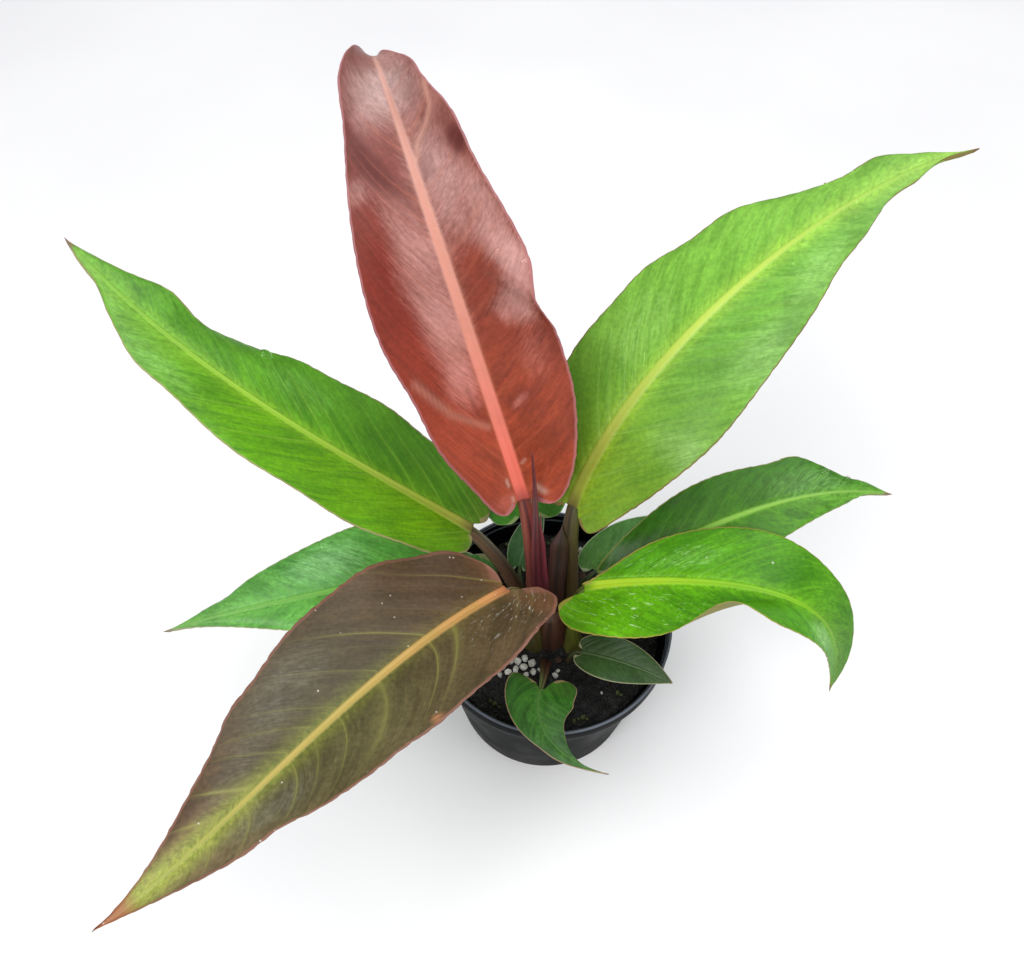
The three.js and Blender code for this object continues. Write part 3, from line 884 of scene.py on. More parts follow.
@dataclass(frozen=True)
class Half:
    """One half of a blade: its half width, outline powers, lobe, and margin's dents and lifts.

    round is how far the lobe's end is rounded out.
    """

    width: float
    base: float
    tip: float
    lobe: float
    lobe_half: float
    dents: tuple[Bump, ...] = ()
    lifts: tuple[Bump, ...] = ()
    round: float = 4.5

    def half_width(self, x: Array) -> Array:
        """Half width of this side, from its lobe's end (0) to the tip (1)."""
        widest = self.base / (self.base + self.tip)
        width = self.width * (x / widest) ** self.base * ((1 - x) / (1 - widest)) ** self.tip
        width = width + self.lobe_half * (1 - x) ** LOBE_FADE
        width = width + self.round * np.sqrt(x / LOBE_REACH) * np.exp(-x / LOBE_REACH)
        return width + bumps(self.dents, x) * (1 - x**TIP_FADE)


@dataclass(frozen=True)
class Patch:
    """A soft patch on a blade, in shares along it and across it (left is negative)."""

    along: float
    across: float
    length: float
    width: float
    strength: float
    lean: float = 0.0

    def mask(self, along: Array, across: Array) -> Array:
        """How strong the patch is at each place."""
        shifted = along - self.along - self.lean * (across - self.across)
        apart = (shifted / self.length) ** 2 + ((across - self.across) / self.width) ** 2
        return self.strength * np.exp(-(apart**1.5))


@dataclass(frozen=True)
class Mark:
    """A strong side vein, as points of share along and millimetres across, and its half width."""

    points: tuple[Pair, ...]
    half: float
    strength: float

    def mask(self, along: Array, across: Array, length: float) -> Array:
        """How strong the vein is at each place.

        Args:
            along: Distances along the midrib.
            across: Distances across it, negative on the left.
            length: The midrib's length.

        Returns:
            The vein's mask.
        """
        nearest = np.full(np.shape(along), np.inf)
        for (a, c), (b, d) in zip(self.points, self.points[1:]):
            start, way = np.array([a * length, c]), np.array([(b - a) * length, d - c])
            share = ((along - start[0]) * way[0] + (across - start[1]) * way[1]) / (way @ way)
            share = np.clip(share, 0, 1)
            apart = np.hypot(along - start[0] - share * way[0], across - start[1] - share * way[1])
            nearest = np.minimum(nearest, apart)
        return self.strength * np.exp(-((nearest / self.half) ** 2))


@dataclass(frozen=True)
class Stalk:
    """A leaf's stalk: its root, the points that it passes, its straight neck and half widths."""

    root: Triple
    way: tuple[Triple, ...]
    neck: float
    wide: Triple
    deep: Triple
    groove: float = 0.16
    flare: float = 0.5


# How fast a lobe, a notch and the dents fade along a blade, and how its grid crowds
LOBE_FADE = 8
NOTCH_FADE = 6
TIP_FADE = 12
ROW_CROWD = 1.6
COLUMN_CROWD = 1.5

# The notch between the lobes and the lobes' round ends, in millimetres and in shares of the blade
NOTCH = 0.9
LOBE_REACH = 0.03

# A blade's thickness at its rib and at its rim, and how far the rim is rounded out, as a share of it
BLADE_THICKNESS = 0.62
RIM_THICKNESS = 0.36
RIM_ROUND = 0.45

# Waves in a blade's length that roughen its margin
JAG_WAVES = (173, 311, 41)

# The rib's half width at the tip, as a share of its half width at the base
RIB_TIP = 0.15

# Height and depth, in millimetres, of the rib's crown and of the groove on each side of it
CROWN_HEIGHT = 0.3
GROOVE_DEPTH = 0.28
GROOVE_HALF = 0.55

# The midrib from which on grooves have their full depth, and a side vein's share of its gap
FULL_MIDRIB = 2.2
VEIN_HALF = 0.2

# Side veins drift off their even places: how far, and how often from the base to the tip
SLOW_DRIFT = (0.22, 1.7)
QUICK_DRIFT = (0.12, 4.1)
STAGGER = 0.42

# Millimetres of the base and of the rib that the margin's line keeps clear of
RIM_CLEAR = 40

# A stalk's head: its reach under the rib, how deep it lies, its width and depth, and how it closes
HEAD_REACH = 3.0
HEAD_SINK = 0.95
HEAD_WIDE = 1.02
HEAD_DEEP = 1.04
HEAD_CAP = 0.35


@dataclass(frozen=True)
class Leaf:
    """One leaf: a blade folded along its midrib, and its stalk. Lengths are millimetres.

    rib holds the control points of the midrib's curve, and face the way the upper side looks.
    fold, in degrees, is how far the halves rise, and roll how far the right half is turned up,
    each at the base, the middle and the tip. wave is the height, count and start of the
    margins' waves. The side veins stand vein_gap apart; lean is how far they run on towards the
    tip and sweep how much they bend that way, on the left and on the right.
    """

    name: str
    grid: Grid
    slot: Slot
    stalk_slot: Slot
    midrib: float
    rib: tuple[Triple, ...]
    face: Triple
    curl: float
    wave: Triple
    left: Half
    right: Half
    stalk: Stalk
    roll: Triple = (0, 0, 0)
    fold: Triple = (12, 8, 6)
    vein_gap: float = 8.5
    lean: Pair = (0.95, 0.95)
    sweep: Pair = (0.4, 0.4)
    quilt: float = 0.14
    rib_share: float = 1.0
    rib_hold: float = 1.05
    tip_face: Triple | None = None
    tip_turn: Pair = (0.75, 0.97)
    ragged: float = 0.1
    # Pale patches of painted sheen.
    painted_sheens: tuple[Patch, ...] = ()
    # Dark patches, mostly painted shade; the red blade's dark lip at its base is the blade's own.
    shades: tuple[Patch, ...] = ()
    glosses: tuple[Patch, ...] = ()
    scuffs: tuple[Patch, ...] = ()
    marks: tuple[Mark, ...] = ()

    def curve(self) -> Rib:
        """The midrib's curve."""
        return Rib(self.rib)

    def frames(self, curve: Rib, along: Array) -> tuple[Array, ...]:
        """The blade's own axes.

        Args:
            curve: The midrib's curve.
            along: Distances along it.

        Returns:
            Points on the midrib, and its tangent, normal and right-hand directions there.
        """
        point, tangent = curve.at(along)
        share = soft_step(along / curve.length, *self.tip_turn)[..., None]
        base, tip = (unit(np.array(way, float)) for way in (self.face, self.tip_face or self.face))
        face = base * (1 - share) + tip * share
        normal = unit(face - tangent * (tangent * face).sum(-1, keepdims=True))
        turn = np.radians(through(self.roll, along / curve.length))[..., None]
        normal = normal * np.cos(turn) - np.cross(tangent, normal) * np.sin(turn)
        return point, tangent, normal, np.cross(tangent, normal)

    def phase(self, along: Array, across: Array, edge: Array, sign: Array) -> Array:
        """Count of side veins that lie between the base and each place."""
        share = across / np.maximum(edge, 1.0)
        lean = np.where(sign > 0, self.lean[1], self.lean[0])
        sweep = np.where(sign > 0, self.sweep[1], self.sweep[0])
        rise = lean * across + sweep * across * share
        start = (along - rise) / self.vein_gap
        slow, slow_waves = SLOW_DRIFT
        quick, quick_waves = QUICK_DRIFT
        drift = slow * np.sin(slow_waves * start + 0.9) + quick * np.sin(quick_waves * start + 2.0 * share)
        return start + drift + STAGGER * (sign > 0) * np.minimum(1, across / 2.5)

    def surface(self, s: Array, share: Array) -> dict[str, Array]:
        """Place blade points in space.

        Args:
            s: Rows, as shares from the base to the tip.
            share: Columns, as shares from the midrib to the margin, negative on the left.

        Returns:
            The upper and lower points and the values that the finish reads.
        """
        curve = self.curve()
        sign = np.where(share < 0, -1.0, 1.0)
        t = np.abs(share)
        x = s**ROW_CROWD
        half = np.where(sign > 0, self.right.half_width(x), self.left.half_width(x))
        lobe = np.where(sign > 0, self.right.lobe, self.left.lobe)
        lifts = np.where(sign > 0, bumps(self.right.lifts, x), bumps(self.left.lifts, x))
        coarse, fine, slow = JAG_WAVES
        jag = np.sin(coarse * x + sign) + np.sin(fine * x + 2 * sign) * np.sin(slow * x)
        edge = np.maximum(half + self.ragged * jag * (1 - x**TIP_FADE) * t**8, 1e-6)
        edge_along = -lobe + x * (curve.length + lobe)
        notch = self.midrib + NOTCH
        still = np.minimum(0.9, notch / np.maximum(edge, notch)) * (1 - s) ** NOTCH_FADE
        sweep = np.maximum(0, (t - still) / (1 - still)) ** (0.8 + 0.2 * s)
        sweep = sweep + (np.sin(math.pi / 2 * sweep) - sweep) * (1 - s) ** NOTCH_FADE
        along = curve.length * s + (edge_along - curve.length * s) * sweep
        across = edge * t
        point, _, normal, right = self.frames(curve, along)
        fold = np.radians(through(self.fold, along / curve.length))
        height, count, start = self.wave
        wave = height * np.sin(2 * math.pi * (count * s + start + sign * 0.2))
        wave = wave * (1 - s**4) * np.minimum(1, 6 * s)
        lift = across * np.sin(fold) + (self.curl + lifts) * t**2 + wave * t**3
        phase = self.phase(along, across, edge, sign)
        half_rib = self.midrib * (RIB_TIP + self.rib_share * (1 - s**self.rib_hold))
        band = np.exp(-((across / half_rib) ** 6))
        lift = lift + self.relief(s, t, across, phase, half_rib, band)
        sideways = (sign * across * np.cos(fold))[..., None]
        top = point + right * sideways + normal * lift[..., None]
        keel_half = self.midrib * (1 - 0.75 * s) + 0.3
        keel = 2 * self.midrib * (1 - s) ** 0.7 * np.exp(-((across / keel_half) ** 4))
        thickness = BLADE_THICKNESS + (RIM_THICKNESS - BLADE_THICKNESS) * t**2 + keel
        under = top - normal * thickness[..., None]
        rim = (1 - t) * edge
        behind = x * (curve.length + lobe) + RIM_CLEAR * (1 - soft_step(t, 0.05, 0.5))
        station = np.clip(along / curve.length, 0, 1)
        # Masks of the painted sheen, the dark patches of mostly painted shade, the glossy patches and the
        # scuffs.
        painted_sheens, shades, glosses, scuffs = (
            sum((patch.mask(station, share) for patch in listed), np.zeros_like(s))
            for listed in (self.painted_sheens, self.shades, self.glosses, self.scuffs)
        )
        marks = sum((m.mask(along, sign * across, curve.length) for m in self.marks), np.zeros_like(s))
        return {
            "top": top,
            "under": under,
            "blade": np.stack([station, sign * across, np.minimum(rim, behind)], -1),
            "veins": np.stack([phase, share, np.zeros_like(s)], -1),
            "patches": np.stack([painted_sheens, shades, soft_step(half_rib + 0.5 - across, 0.0, 1.3)], -1),
            "marks": np.stack([marks, glosses, scuffs], -1),
        }

    def relief(self, s: Array, t: Array, across: Array, phase: Array,
               half_rib: Array, band: Array) -> Array:
        """Fine height of the upper face: the rib's low crown, its grooves and the sunk side veins."""
        crown = CROWN_HEIGHT * band * (1 - 0.6 * s)
        depth = -GROOVE_DEPTH * min(1.0, (self.midrib / FULL_MIDRIB) ** 2)
        groove = depth * np.exp(-(((across - half_rib - 0.5) / GROOVE_HALF) ** 2)) * (1 - 0.7 * s)
        near = np.abs((phase + 0.5) % 1.0 - 0.5)
        sunk = -np.exp(-((near / VEIN_HALF) ** 2))
        quilt = self.quilt * sunk * soft_step(across, 1.5, 6.0) * (1 - t**3) * (1 - s**3)
        return crown + groove + quilt

    def blade(self) -> Shell:
        """The blade's closed shell, with a rounded rim and one point at its tip.

        Returns:
            The shell.
        """
        rows, columns = self.grid.value
        j = np.arange(-columns, columns + 1) / columns
        shares = np.sign(j) * np.abs(j) ** COLUMN_CROWD
        s, share = np.meshgrid(np.arange(rows) / rows, shares, indexing="ij")
        body = self.surface(s, share)
        tip = self.surface(np.array([1.0]), np.array([0.0]))
        wide = 2 * columns + 1
        layer = rows * wide
        belt = self.belt(rows, wide)
        middle = (body["top"] + body["under"]) / 2
        flat = {key: value.reshape(layer, 3) for key, value in body.items()}
        rims = middle.reshape(layer, 3)[belt] + self.belt_push(flat, belt, wide)
        points = [flat["top"], flat["under"], tip["top"], tip["under"], rims,
                  (tip["top"] + tip["under"]) / 2]
        values = {}
        for key in ("blade", "veins", "patches", "marks"):
            main, end = flat[key], tip[key]
            values[key] = np.concatenate([main, main, end, end, main[belt], end])
        values["veins"][layer : 2 * layer, 2] = 1.0
        values["veins"][2 * layer + 1, 2] = 1.0
        return Shell(np.concatenate(points), self.blade_faces(rows, wide, belt), values)

    def belt(self, rows: int, wide: int) -> Array:
        """Numbers of the grid points round the open rim, from the tip's left round the base to its right."""
        left = np.arange(rows - 1, 0, -1) * wide
        base = np.arange(wide)
        right = np.arange(1, rows) * wide + wide - 1
        return np.concatenate([left, base, right])

    def belt_push(self, flat: dict[str, Array], belt: Array, wide: int) -> Array:
        """How far the rim's rounding stands out beyond the grid, at each of the belt's points."""
        line = (flat["top"][belt] + flat["under"][belt]) / 2
        ahead = np.roll(line, -1, axis=0) - np.roll(line, 1, axis=0)
        ahead[0] = line[1] - line[0]
        ahead[-1] = line[-1] - line[-2]
        thick = flat["top"][belt] - flat["under"][belt]
        out = unit(np.cross(ahead, thick))
        inner = flat["top"][belt] - flat["top"][self.inward(belt, wide)]
        out = out * np.sign((out * inner).sum(-1, keepdims=True))
        return out * RIM_THICKNESS * RIM_ROUND

    @staticmethod
    def inward(belt: Array, wide: int) -> Array:
        """The grid point next to each belt point, further inside the blade."""
        row, column = belt // wide, belt % wide
        column = np.clip(column, 1, wide - 2)
        row = np.where(row == 0, 1, row)
        return row * wide + column

    @staticmethod
    def blade_faces(rows: int, wide: int, belt: Array) -> list[tuple[int, ...]]:
        """Faces of the blade's shell.

        Args:
            rows: Rows of the grid.
            wide: Points in a row.
            belt: Grid numbers of the rim's points.

        Returns:
            The faces.
        """
        layer = rows * wide
        top_tip, under_tip, first_rim = 2 * layer, 2 * layer + 1, 2 * layer + 2
        rim_tip = first_rim + len(belt)
        faces: list[tuple[int, ...]] = []
        for i in range(rows - 1):
            for j in range(wide - 1):
                a = i * wide + j
                quad = (a, a + 1, a + wide + 1, a + wide)
                faces.append(quad)
                faces.append(tuple(k + layer for k in reversed(quad)))
        last = (rows - 1) * wide
        for j in range(wide - 1):
            faces.append((last + j, last + j + 1, top_tip))
            faces.append((last + layer + j + 1, last + layer + j, under_tip))
        ring = [(int(g), int(g) + layer, first_rim + k) for k, g in enumerate(belt)]
        ring = [(top_tip, under_tip, rim_tip), *ring]
        for here, ahead in zip(ring, ring[1:] + ring[:1]):
            faces.append((ahead[0], here[0], here[2], ahead[2]))
            faces.append((ahead[2], here[2], here[1], ahead[1]))
        return faces

    def stalk_shell(self) -> Shell:
        """The stalk's closed shell: a grooved oval that runs under the foot of the midrib.

        Returns:
            The shell.
        """
        curve = self.curve()
        point, tangent, normal, right = (v[0] for v in self.frames(curve, np.array([0.0])))
        head = point - normal * self.midrib
        bend = head - tangent * self.stalk.neck
        ridge, _, up, _ = (v[0] for v in self.frames(curve, np.array([self.midrib * HEAD_REACH])))
        inside = ridge - up * self.midrib * HEAD_SINK
        path = [self.stalk.root, *self.stalk.way, bend.tolist(), head.tolist(), inside.tolist()]
        head_half = self.midrib * (RIB_TIP + self.rib_share)
        wide = (*self.stalk.wide[:2], max(self.stalk.wide[2], head_half * HEAD_WIDE))
        deep = (*self.stalk.deep[:2], self.midrib * HEAD_DEEP)
        return tube(path, wide, deep, right, self.stalk.groove, self.stalk.flare, HEAD_CAP)

    def build(self) -> list[Piece]:
        """Make the leaf's blade and stalk.

        Returns:
            The two pieces.
        """
        skin = BLADES[self.name].material(f"{self.name}_blade", self.vein_gap)
        blade = self.blade().piece(f"blade_{self.name}", skin)
        stalk_skin = STALKS[self.name].material(f"{self.name}_stalk")
        stalk = self.stalk_shell().piece(f"stalk_{self.name}", stalk_skin)
        seat(blade, f"leaf_{self.name}")
        seat(stalk, f"petiole_{self.name}")
        return [blade, stalk]


# Where a tube's groove fades out, the groove's width, and the reach of a flared foot
GROOVE_END = (0.8, 0.93)
GROOVE_WIDTH = 0.12
FLARE_REACH = 0.22


def tube(path: Sequence[Sequence[float]], wide: Triple, deep: Triple, side: Array,
         groove: float = 0.0, flare: float = 0.0, cap: float = 0.0, cap_reach: float = 0.035,
         steps: int = 90, sides: int = 36) -> Shell:
    """A closed oval tube along a curve, with a groove down its upper face.

    Args:
        path: The curve's control points, from the foot to the head.
        wide: Half widths along side at the foot, the middle and the head.
        deep: Half widths across it.
        side: The direction of the oval's wide way.
        groove: How deep the groove is, as a share of the half width.
        flare: How much wider the foot grows, as a share of its half width.
        cap: How far the head closes in at its end, as a share of its half width.
        cap_reach: The share of the length over which it does.
        steps: Rings along the tube, less one.
        sides: Points round a ring.

    Returns:
        The tube's shell.
    """
    curve = Rib(path)
    station = np.linspace(0, 1, steps + 1)
    point, tangent = curve.at(station * curve.length)
    across = unit(side - tangent * (tangent @ side)[:, None])
    out = np.cross(tangent, across)
    angle = 2 * math.pi * (np.arange(sides) + 0.5) / sides
    fade = (1 - soft_step(station, *GROOVE_END))[:, None]
    dent = 1 - groove * fade * np.exp(-(((np.sin(angle) + 1) / GROOVE_WIDTH) ** 2))
    swell = 1 + flare * np.exp(-((station / FLARE_REACH) ** 2))
    swell = swell * (1 - cap * soft_step(station, 1 - cap_reach, 1.0))
    half_wide = (through(wide, station) * swell)[:, None] * np.cos(angle)
    half_deep = (through(deep, station) * swell)[:, None] * np.sin(angle) * dent
    rings = point[:, None] + across[:, None] * half_wide[..., None] + out[:, None] * half_deep[..., None]
    count = (steps + 1) * sides
    points = np.concatenate([rings.reshape(count, 3), point[:1], point[-1:]])
    stations = np.repeat(station, sides)
    values = np.stack([stations, np.tile(np.cos(angle), steps + 1), np.tile(np.sin(angle), steps + 1)], -1)
    values = np.concatenate([values, [[0, 0, 0], [1, 0, 0]]])
    faces: list[tuple[int, ...]] = []
    for k in range(sides):
        ahead = (k + 1) % sides
        for i in range(steps):
            a, b = i * sides, (i + 1) * sides
            faces.append((a + k, a + ahead, b + ahead, b + k))
        faces.append((count, ahead, k))
        faces.append((count + 1, steps * sides + k, steps * sides + ahead))
    return Shell(points, faces, {"stalk": values})


# The leaves' finishes

BLADES = {
    # The red blade's pale pink rim line is a painted highlight along its rolled margin.
    "red": LeafFinish(
        ("ac4a2e", "883c2c", "9c7872"), ("f07462", "d08e7c", "bc948a"), ("c05c3c", "a06850", "9c7870"),
        left=("b04c30", "7a2a1e", "8a625c"), deep="602c22", vein="b86448", rim="b07478", foot="a84c44",
        under="8a5248", edge="78382e", tip="7c5854", painted_sheen=("c86a58", "ae7c74", "a48c88"), shade="5c2824",
        mark="c4907e", halo_width=6, halo_share=(0.5, 0.4), deep_share=0.4, edge_share=0.3,
        vein_share=0.22, vein_width=0.12, rim_width=1.1, rim_share=0.6, streak=0.14, grain=0.07,
        roughness=0.36, specular=0.25, seed=1,
    ),
    "green_right": LeafFinish(
        ("70921a", "70ac3c", "70a644"), ("8c8a30", "b8d258", "86b44a"), ("8a9c20", "9cc844", "94c04a"),
        left=("5e8216", "78b23e", "7ab044"), deep="487c20", vein="90b952", rim="7c5038", foot="5c5024",
        under="8fb070", edge="6c9a3a", painted_sheen=("90b068", "a4cc80", "a8cc88"), shade="3c701c",
        halo_width=10, halo_share=(0.75, 0.7), deep_share=0.42, streak=0.13, vein_share=0.3,
        tip_start=0.985, seed=2,
    ),
    "green_left": LeafFinish(
        ("528014", "58961e", "609a32"), ("9ca03e", "98c23e", "6ea438"), ("70980e", "8cba26", "78b03e"),
        left=("6a9606", "64a208", "6ea040"), deep="2f6c12", vein="90ba3e", rim="a08a68", foot="6e6232",
        under="86a868", edge="4c8c20", painted_sheen=("7cb058", "8cc46c", "94c07c"), shade="245c10", halo_width=8,
        halo_share=(0.5, 0.5), deep_share=0.42, streak=0.17, vein_share=0.45, vein_width=0.09,
        rim_width=0.8, tip_start=0.97, seed=3,
    ),
    "bronze": LeafFinish(
        ("54402a", "4a4228", "785a42"), ("c48c56", "b09c50", "94a250"), ("74642c", "7c862c", "9caa48"),
        left=("58462f", "565230", "78684c"), deep="342a18", vein="98984c", rim="8c5c50", foot="a86a48",
        under="7a7048", edge="5c4436", tip="a0684c", painted_sheen=("6e6458", "6c6c60", "74765c"), shade="342a1c",
        mark="b87a54", halo_width=11, halo_share=(0.3, 0.85), deep_share=0.4, streak=0.14, grain=0.14,
        vein_share=0.5, vein_width=0.07, rim_width=1.8, rim_share=0.6, flecks=0.2, fleck_size=0.13,
        roughness=0.42, specular=0.28, tip_start=0.9, scuff_size=(5.0, 24.0), seed=4,
    ),
    "arched_right": LeafFinish(
        ("60a602", "4a9204", "549a18"), ("b4d62c", "80b824", "5c8426"), ("74b408", "76b614", "60902a"),
        left=("4c9402", "509408", "4c7c20"), deep="2f6e00", vein="7cb32d", rim="a89048", foot="6a9a1c",
        under="84803c", edge="52900e", tip="7a6a38", painted_sheen=("90c868", "94cc6c", "90b87c"), shade="286a04",
        halo_width=9, halo_share=(0.75, 0.4), deep_share=0.5, streak=0.2, grain=0.14, vein_share=0.3,
        flecks=0.02, fleck_size=0.2, scuff="b4dc94", scuff_size=(3.0, 20.0), seed=5,
    ),
    "back_right": LeafFinish(
        ("33640a", "4c8a10", "66a034"), ("8ab846", "86b846", "82b054"), ("428010", "5c981c", "6ea63c"),
        left=("284e04", "366a06", "569430"), deep="245608", vein="639b32", rim="8a8a4c", foot="4a6a24",
        under="6a9450", edge="40801c", painted_sheen=("70a050", "84b868", "90bc78"), shade="1c480c", halo_width=6,
        halo_share=(0.5, 0.5), deep_share=0.55, streak=0.22, seed=6,
    ),
    "low_left": LeafFinish(
        ("589434", "66b04c", "6aa450"), ("96c45c", "76b44a", "78aa58"), ("5c8c38", "74b44e", "74a84e"),
        left=("488438", "62aa44", "5e9c46"), deep="3c7c30", vein="80a856", rim="a09868", foot="6a8a44",
        under="7aa868", edge="62984c", tip="7a6a48", painted_sheen=("94c488", "a0d098", "98c890"), shade="307830",
        halo_width=6, halo_share=(0.4, 0.4), streak=0.2, roughness=0.34, specular=0.3, seed=7,
    ),
    "behind_red": LeafFinish(
        ("387820", "448428", "4a8c30"), ("a4c860", "98c458", "90c058"), ("509030",) * 3, deep="2c6a1a",
        vein="6aa048", rim="94a46c", foot="5a7a34", under="7aa860", edge="408428", seed=8,
    ),
    "small_front": LeafFinish(
        ("386e20", "2e5c1c", "36602a"), ("56783a", "48702c", "587038"), ("3e6e2c", "38622a", "3c6430"),
        deep="1a400e", vein="568b35", rim="a88a6c", foot="5a5a34", under="6a9458", edge="285618",
        tip="6a5a34", painted_sheen=("5c8c4c",) * 3, shade="183a12", halo_width=5, halo_share=(0.6, 0.4),
        streak=0.26, deep_share=0.6, vein_share=0.45, rim_width=0.4, seed=9,
    ),
    "small_right": LeafFinish(
        ("345022", "3c5c30", "44603a"), ("4c6438", "4c6a3e", "546a42"), ("344a20", "3c542c", "40542e"),
        left=("28421a", "2c4c20", "364e28"), deep="223c18", vein="547240", rim="a8a480", foot="3c4228",
        under="6a8660", edge="344e28", tip="6a5a40", painted_sheen=("6a8660", "6a8660", "748c6a"), streak=0.24,
        deep_share=0.5, vein_share=0.35, rim_width=0.4, seed=10,
    ),
    "small_back": LeafFinish(
        ("3a6238", "3a6038", "3a6038"), ("70905c", "6c8c5c", "6c8c5c"), ("446a40",) * 3, deep="2a4c28",
        vein="54784c", rim="a8b090", foot="55604a", under="70906c", edge="365a34", painted_sheen=("7c9880",) * 3,
        rim_width=0.4, streak=0.2, seed=11,
    ),
    "grey_right": LeafFinish(
        ("507c34", "5a8c48", "5c8c4c"), ("7c9c60", "80a468", "80a468"), ("5a8440", "609050", "609050"),
        deep="3e6c2c", vein="70985c", rim="a8b090", foot="55604a", under="70906c", edge="548244",
        painted_sheen=("90b080",) * 3, rim_width=0.4, streak=0.2, seed=12,
    ),
}

# Each stalk's colours, its left side's tint, and the painted shade in its groove.
STALKS = {
    "red": StalkFinish(("6a4a2c", "7a2f35", "8a3a34"), "8a4a30", "3c1a1c"),
    "green_right": StalkFinish(("5e5628", "4a3a20", "4e4824"), "4a2520", "241a10"),
    "green_left": StalkFinish(("5e5a2a", "57472a", "6a5a34"), "5c3028", "33261a"),
    "bronze": StalkFinish(("5a5526", "5a5526", "7a6a38"), "4c4420", "3a3418"),
    "arched_right": StalkFinish(("5a5526", "5f6a22", "6e8430"), "5a3a26", "3c4016"),
    "back_right": StalkFinish(("5a5526", "55602a", "5f7a34"), "4a3a22", "343a18"),
    "low_left": StalkFinish(("5f5c2c", "7d9a4a", "88a852"), "6a7a3a", "4c5c2a"),
    "behind_red": StalkFinish(("5a5526", "6a6a30", "6a8038"), "5a4a2a", "3c3c1c"),
    "small_front": StalkFinish(("4a2a20", "4b3022", "5a7038"), "5c2c28", "2a1812"),
    "small_right": StalkFinish(("4b3a26", "4b4a30", "55643a"), "4a3026", "2c2a1a"),
    "small_back": StalkFinish(("55503a", "55603a", "5c7048"), "54482e", "34382a"),
    "grey_right": StalkFinish(("55503a", "55603a", "5c7048"), "54482e", "34382a"),
}

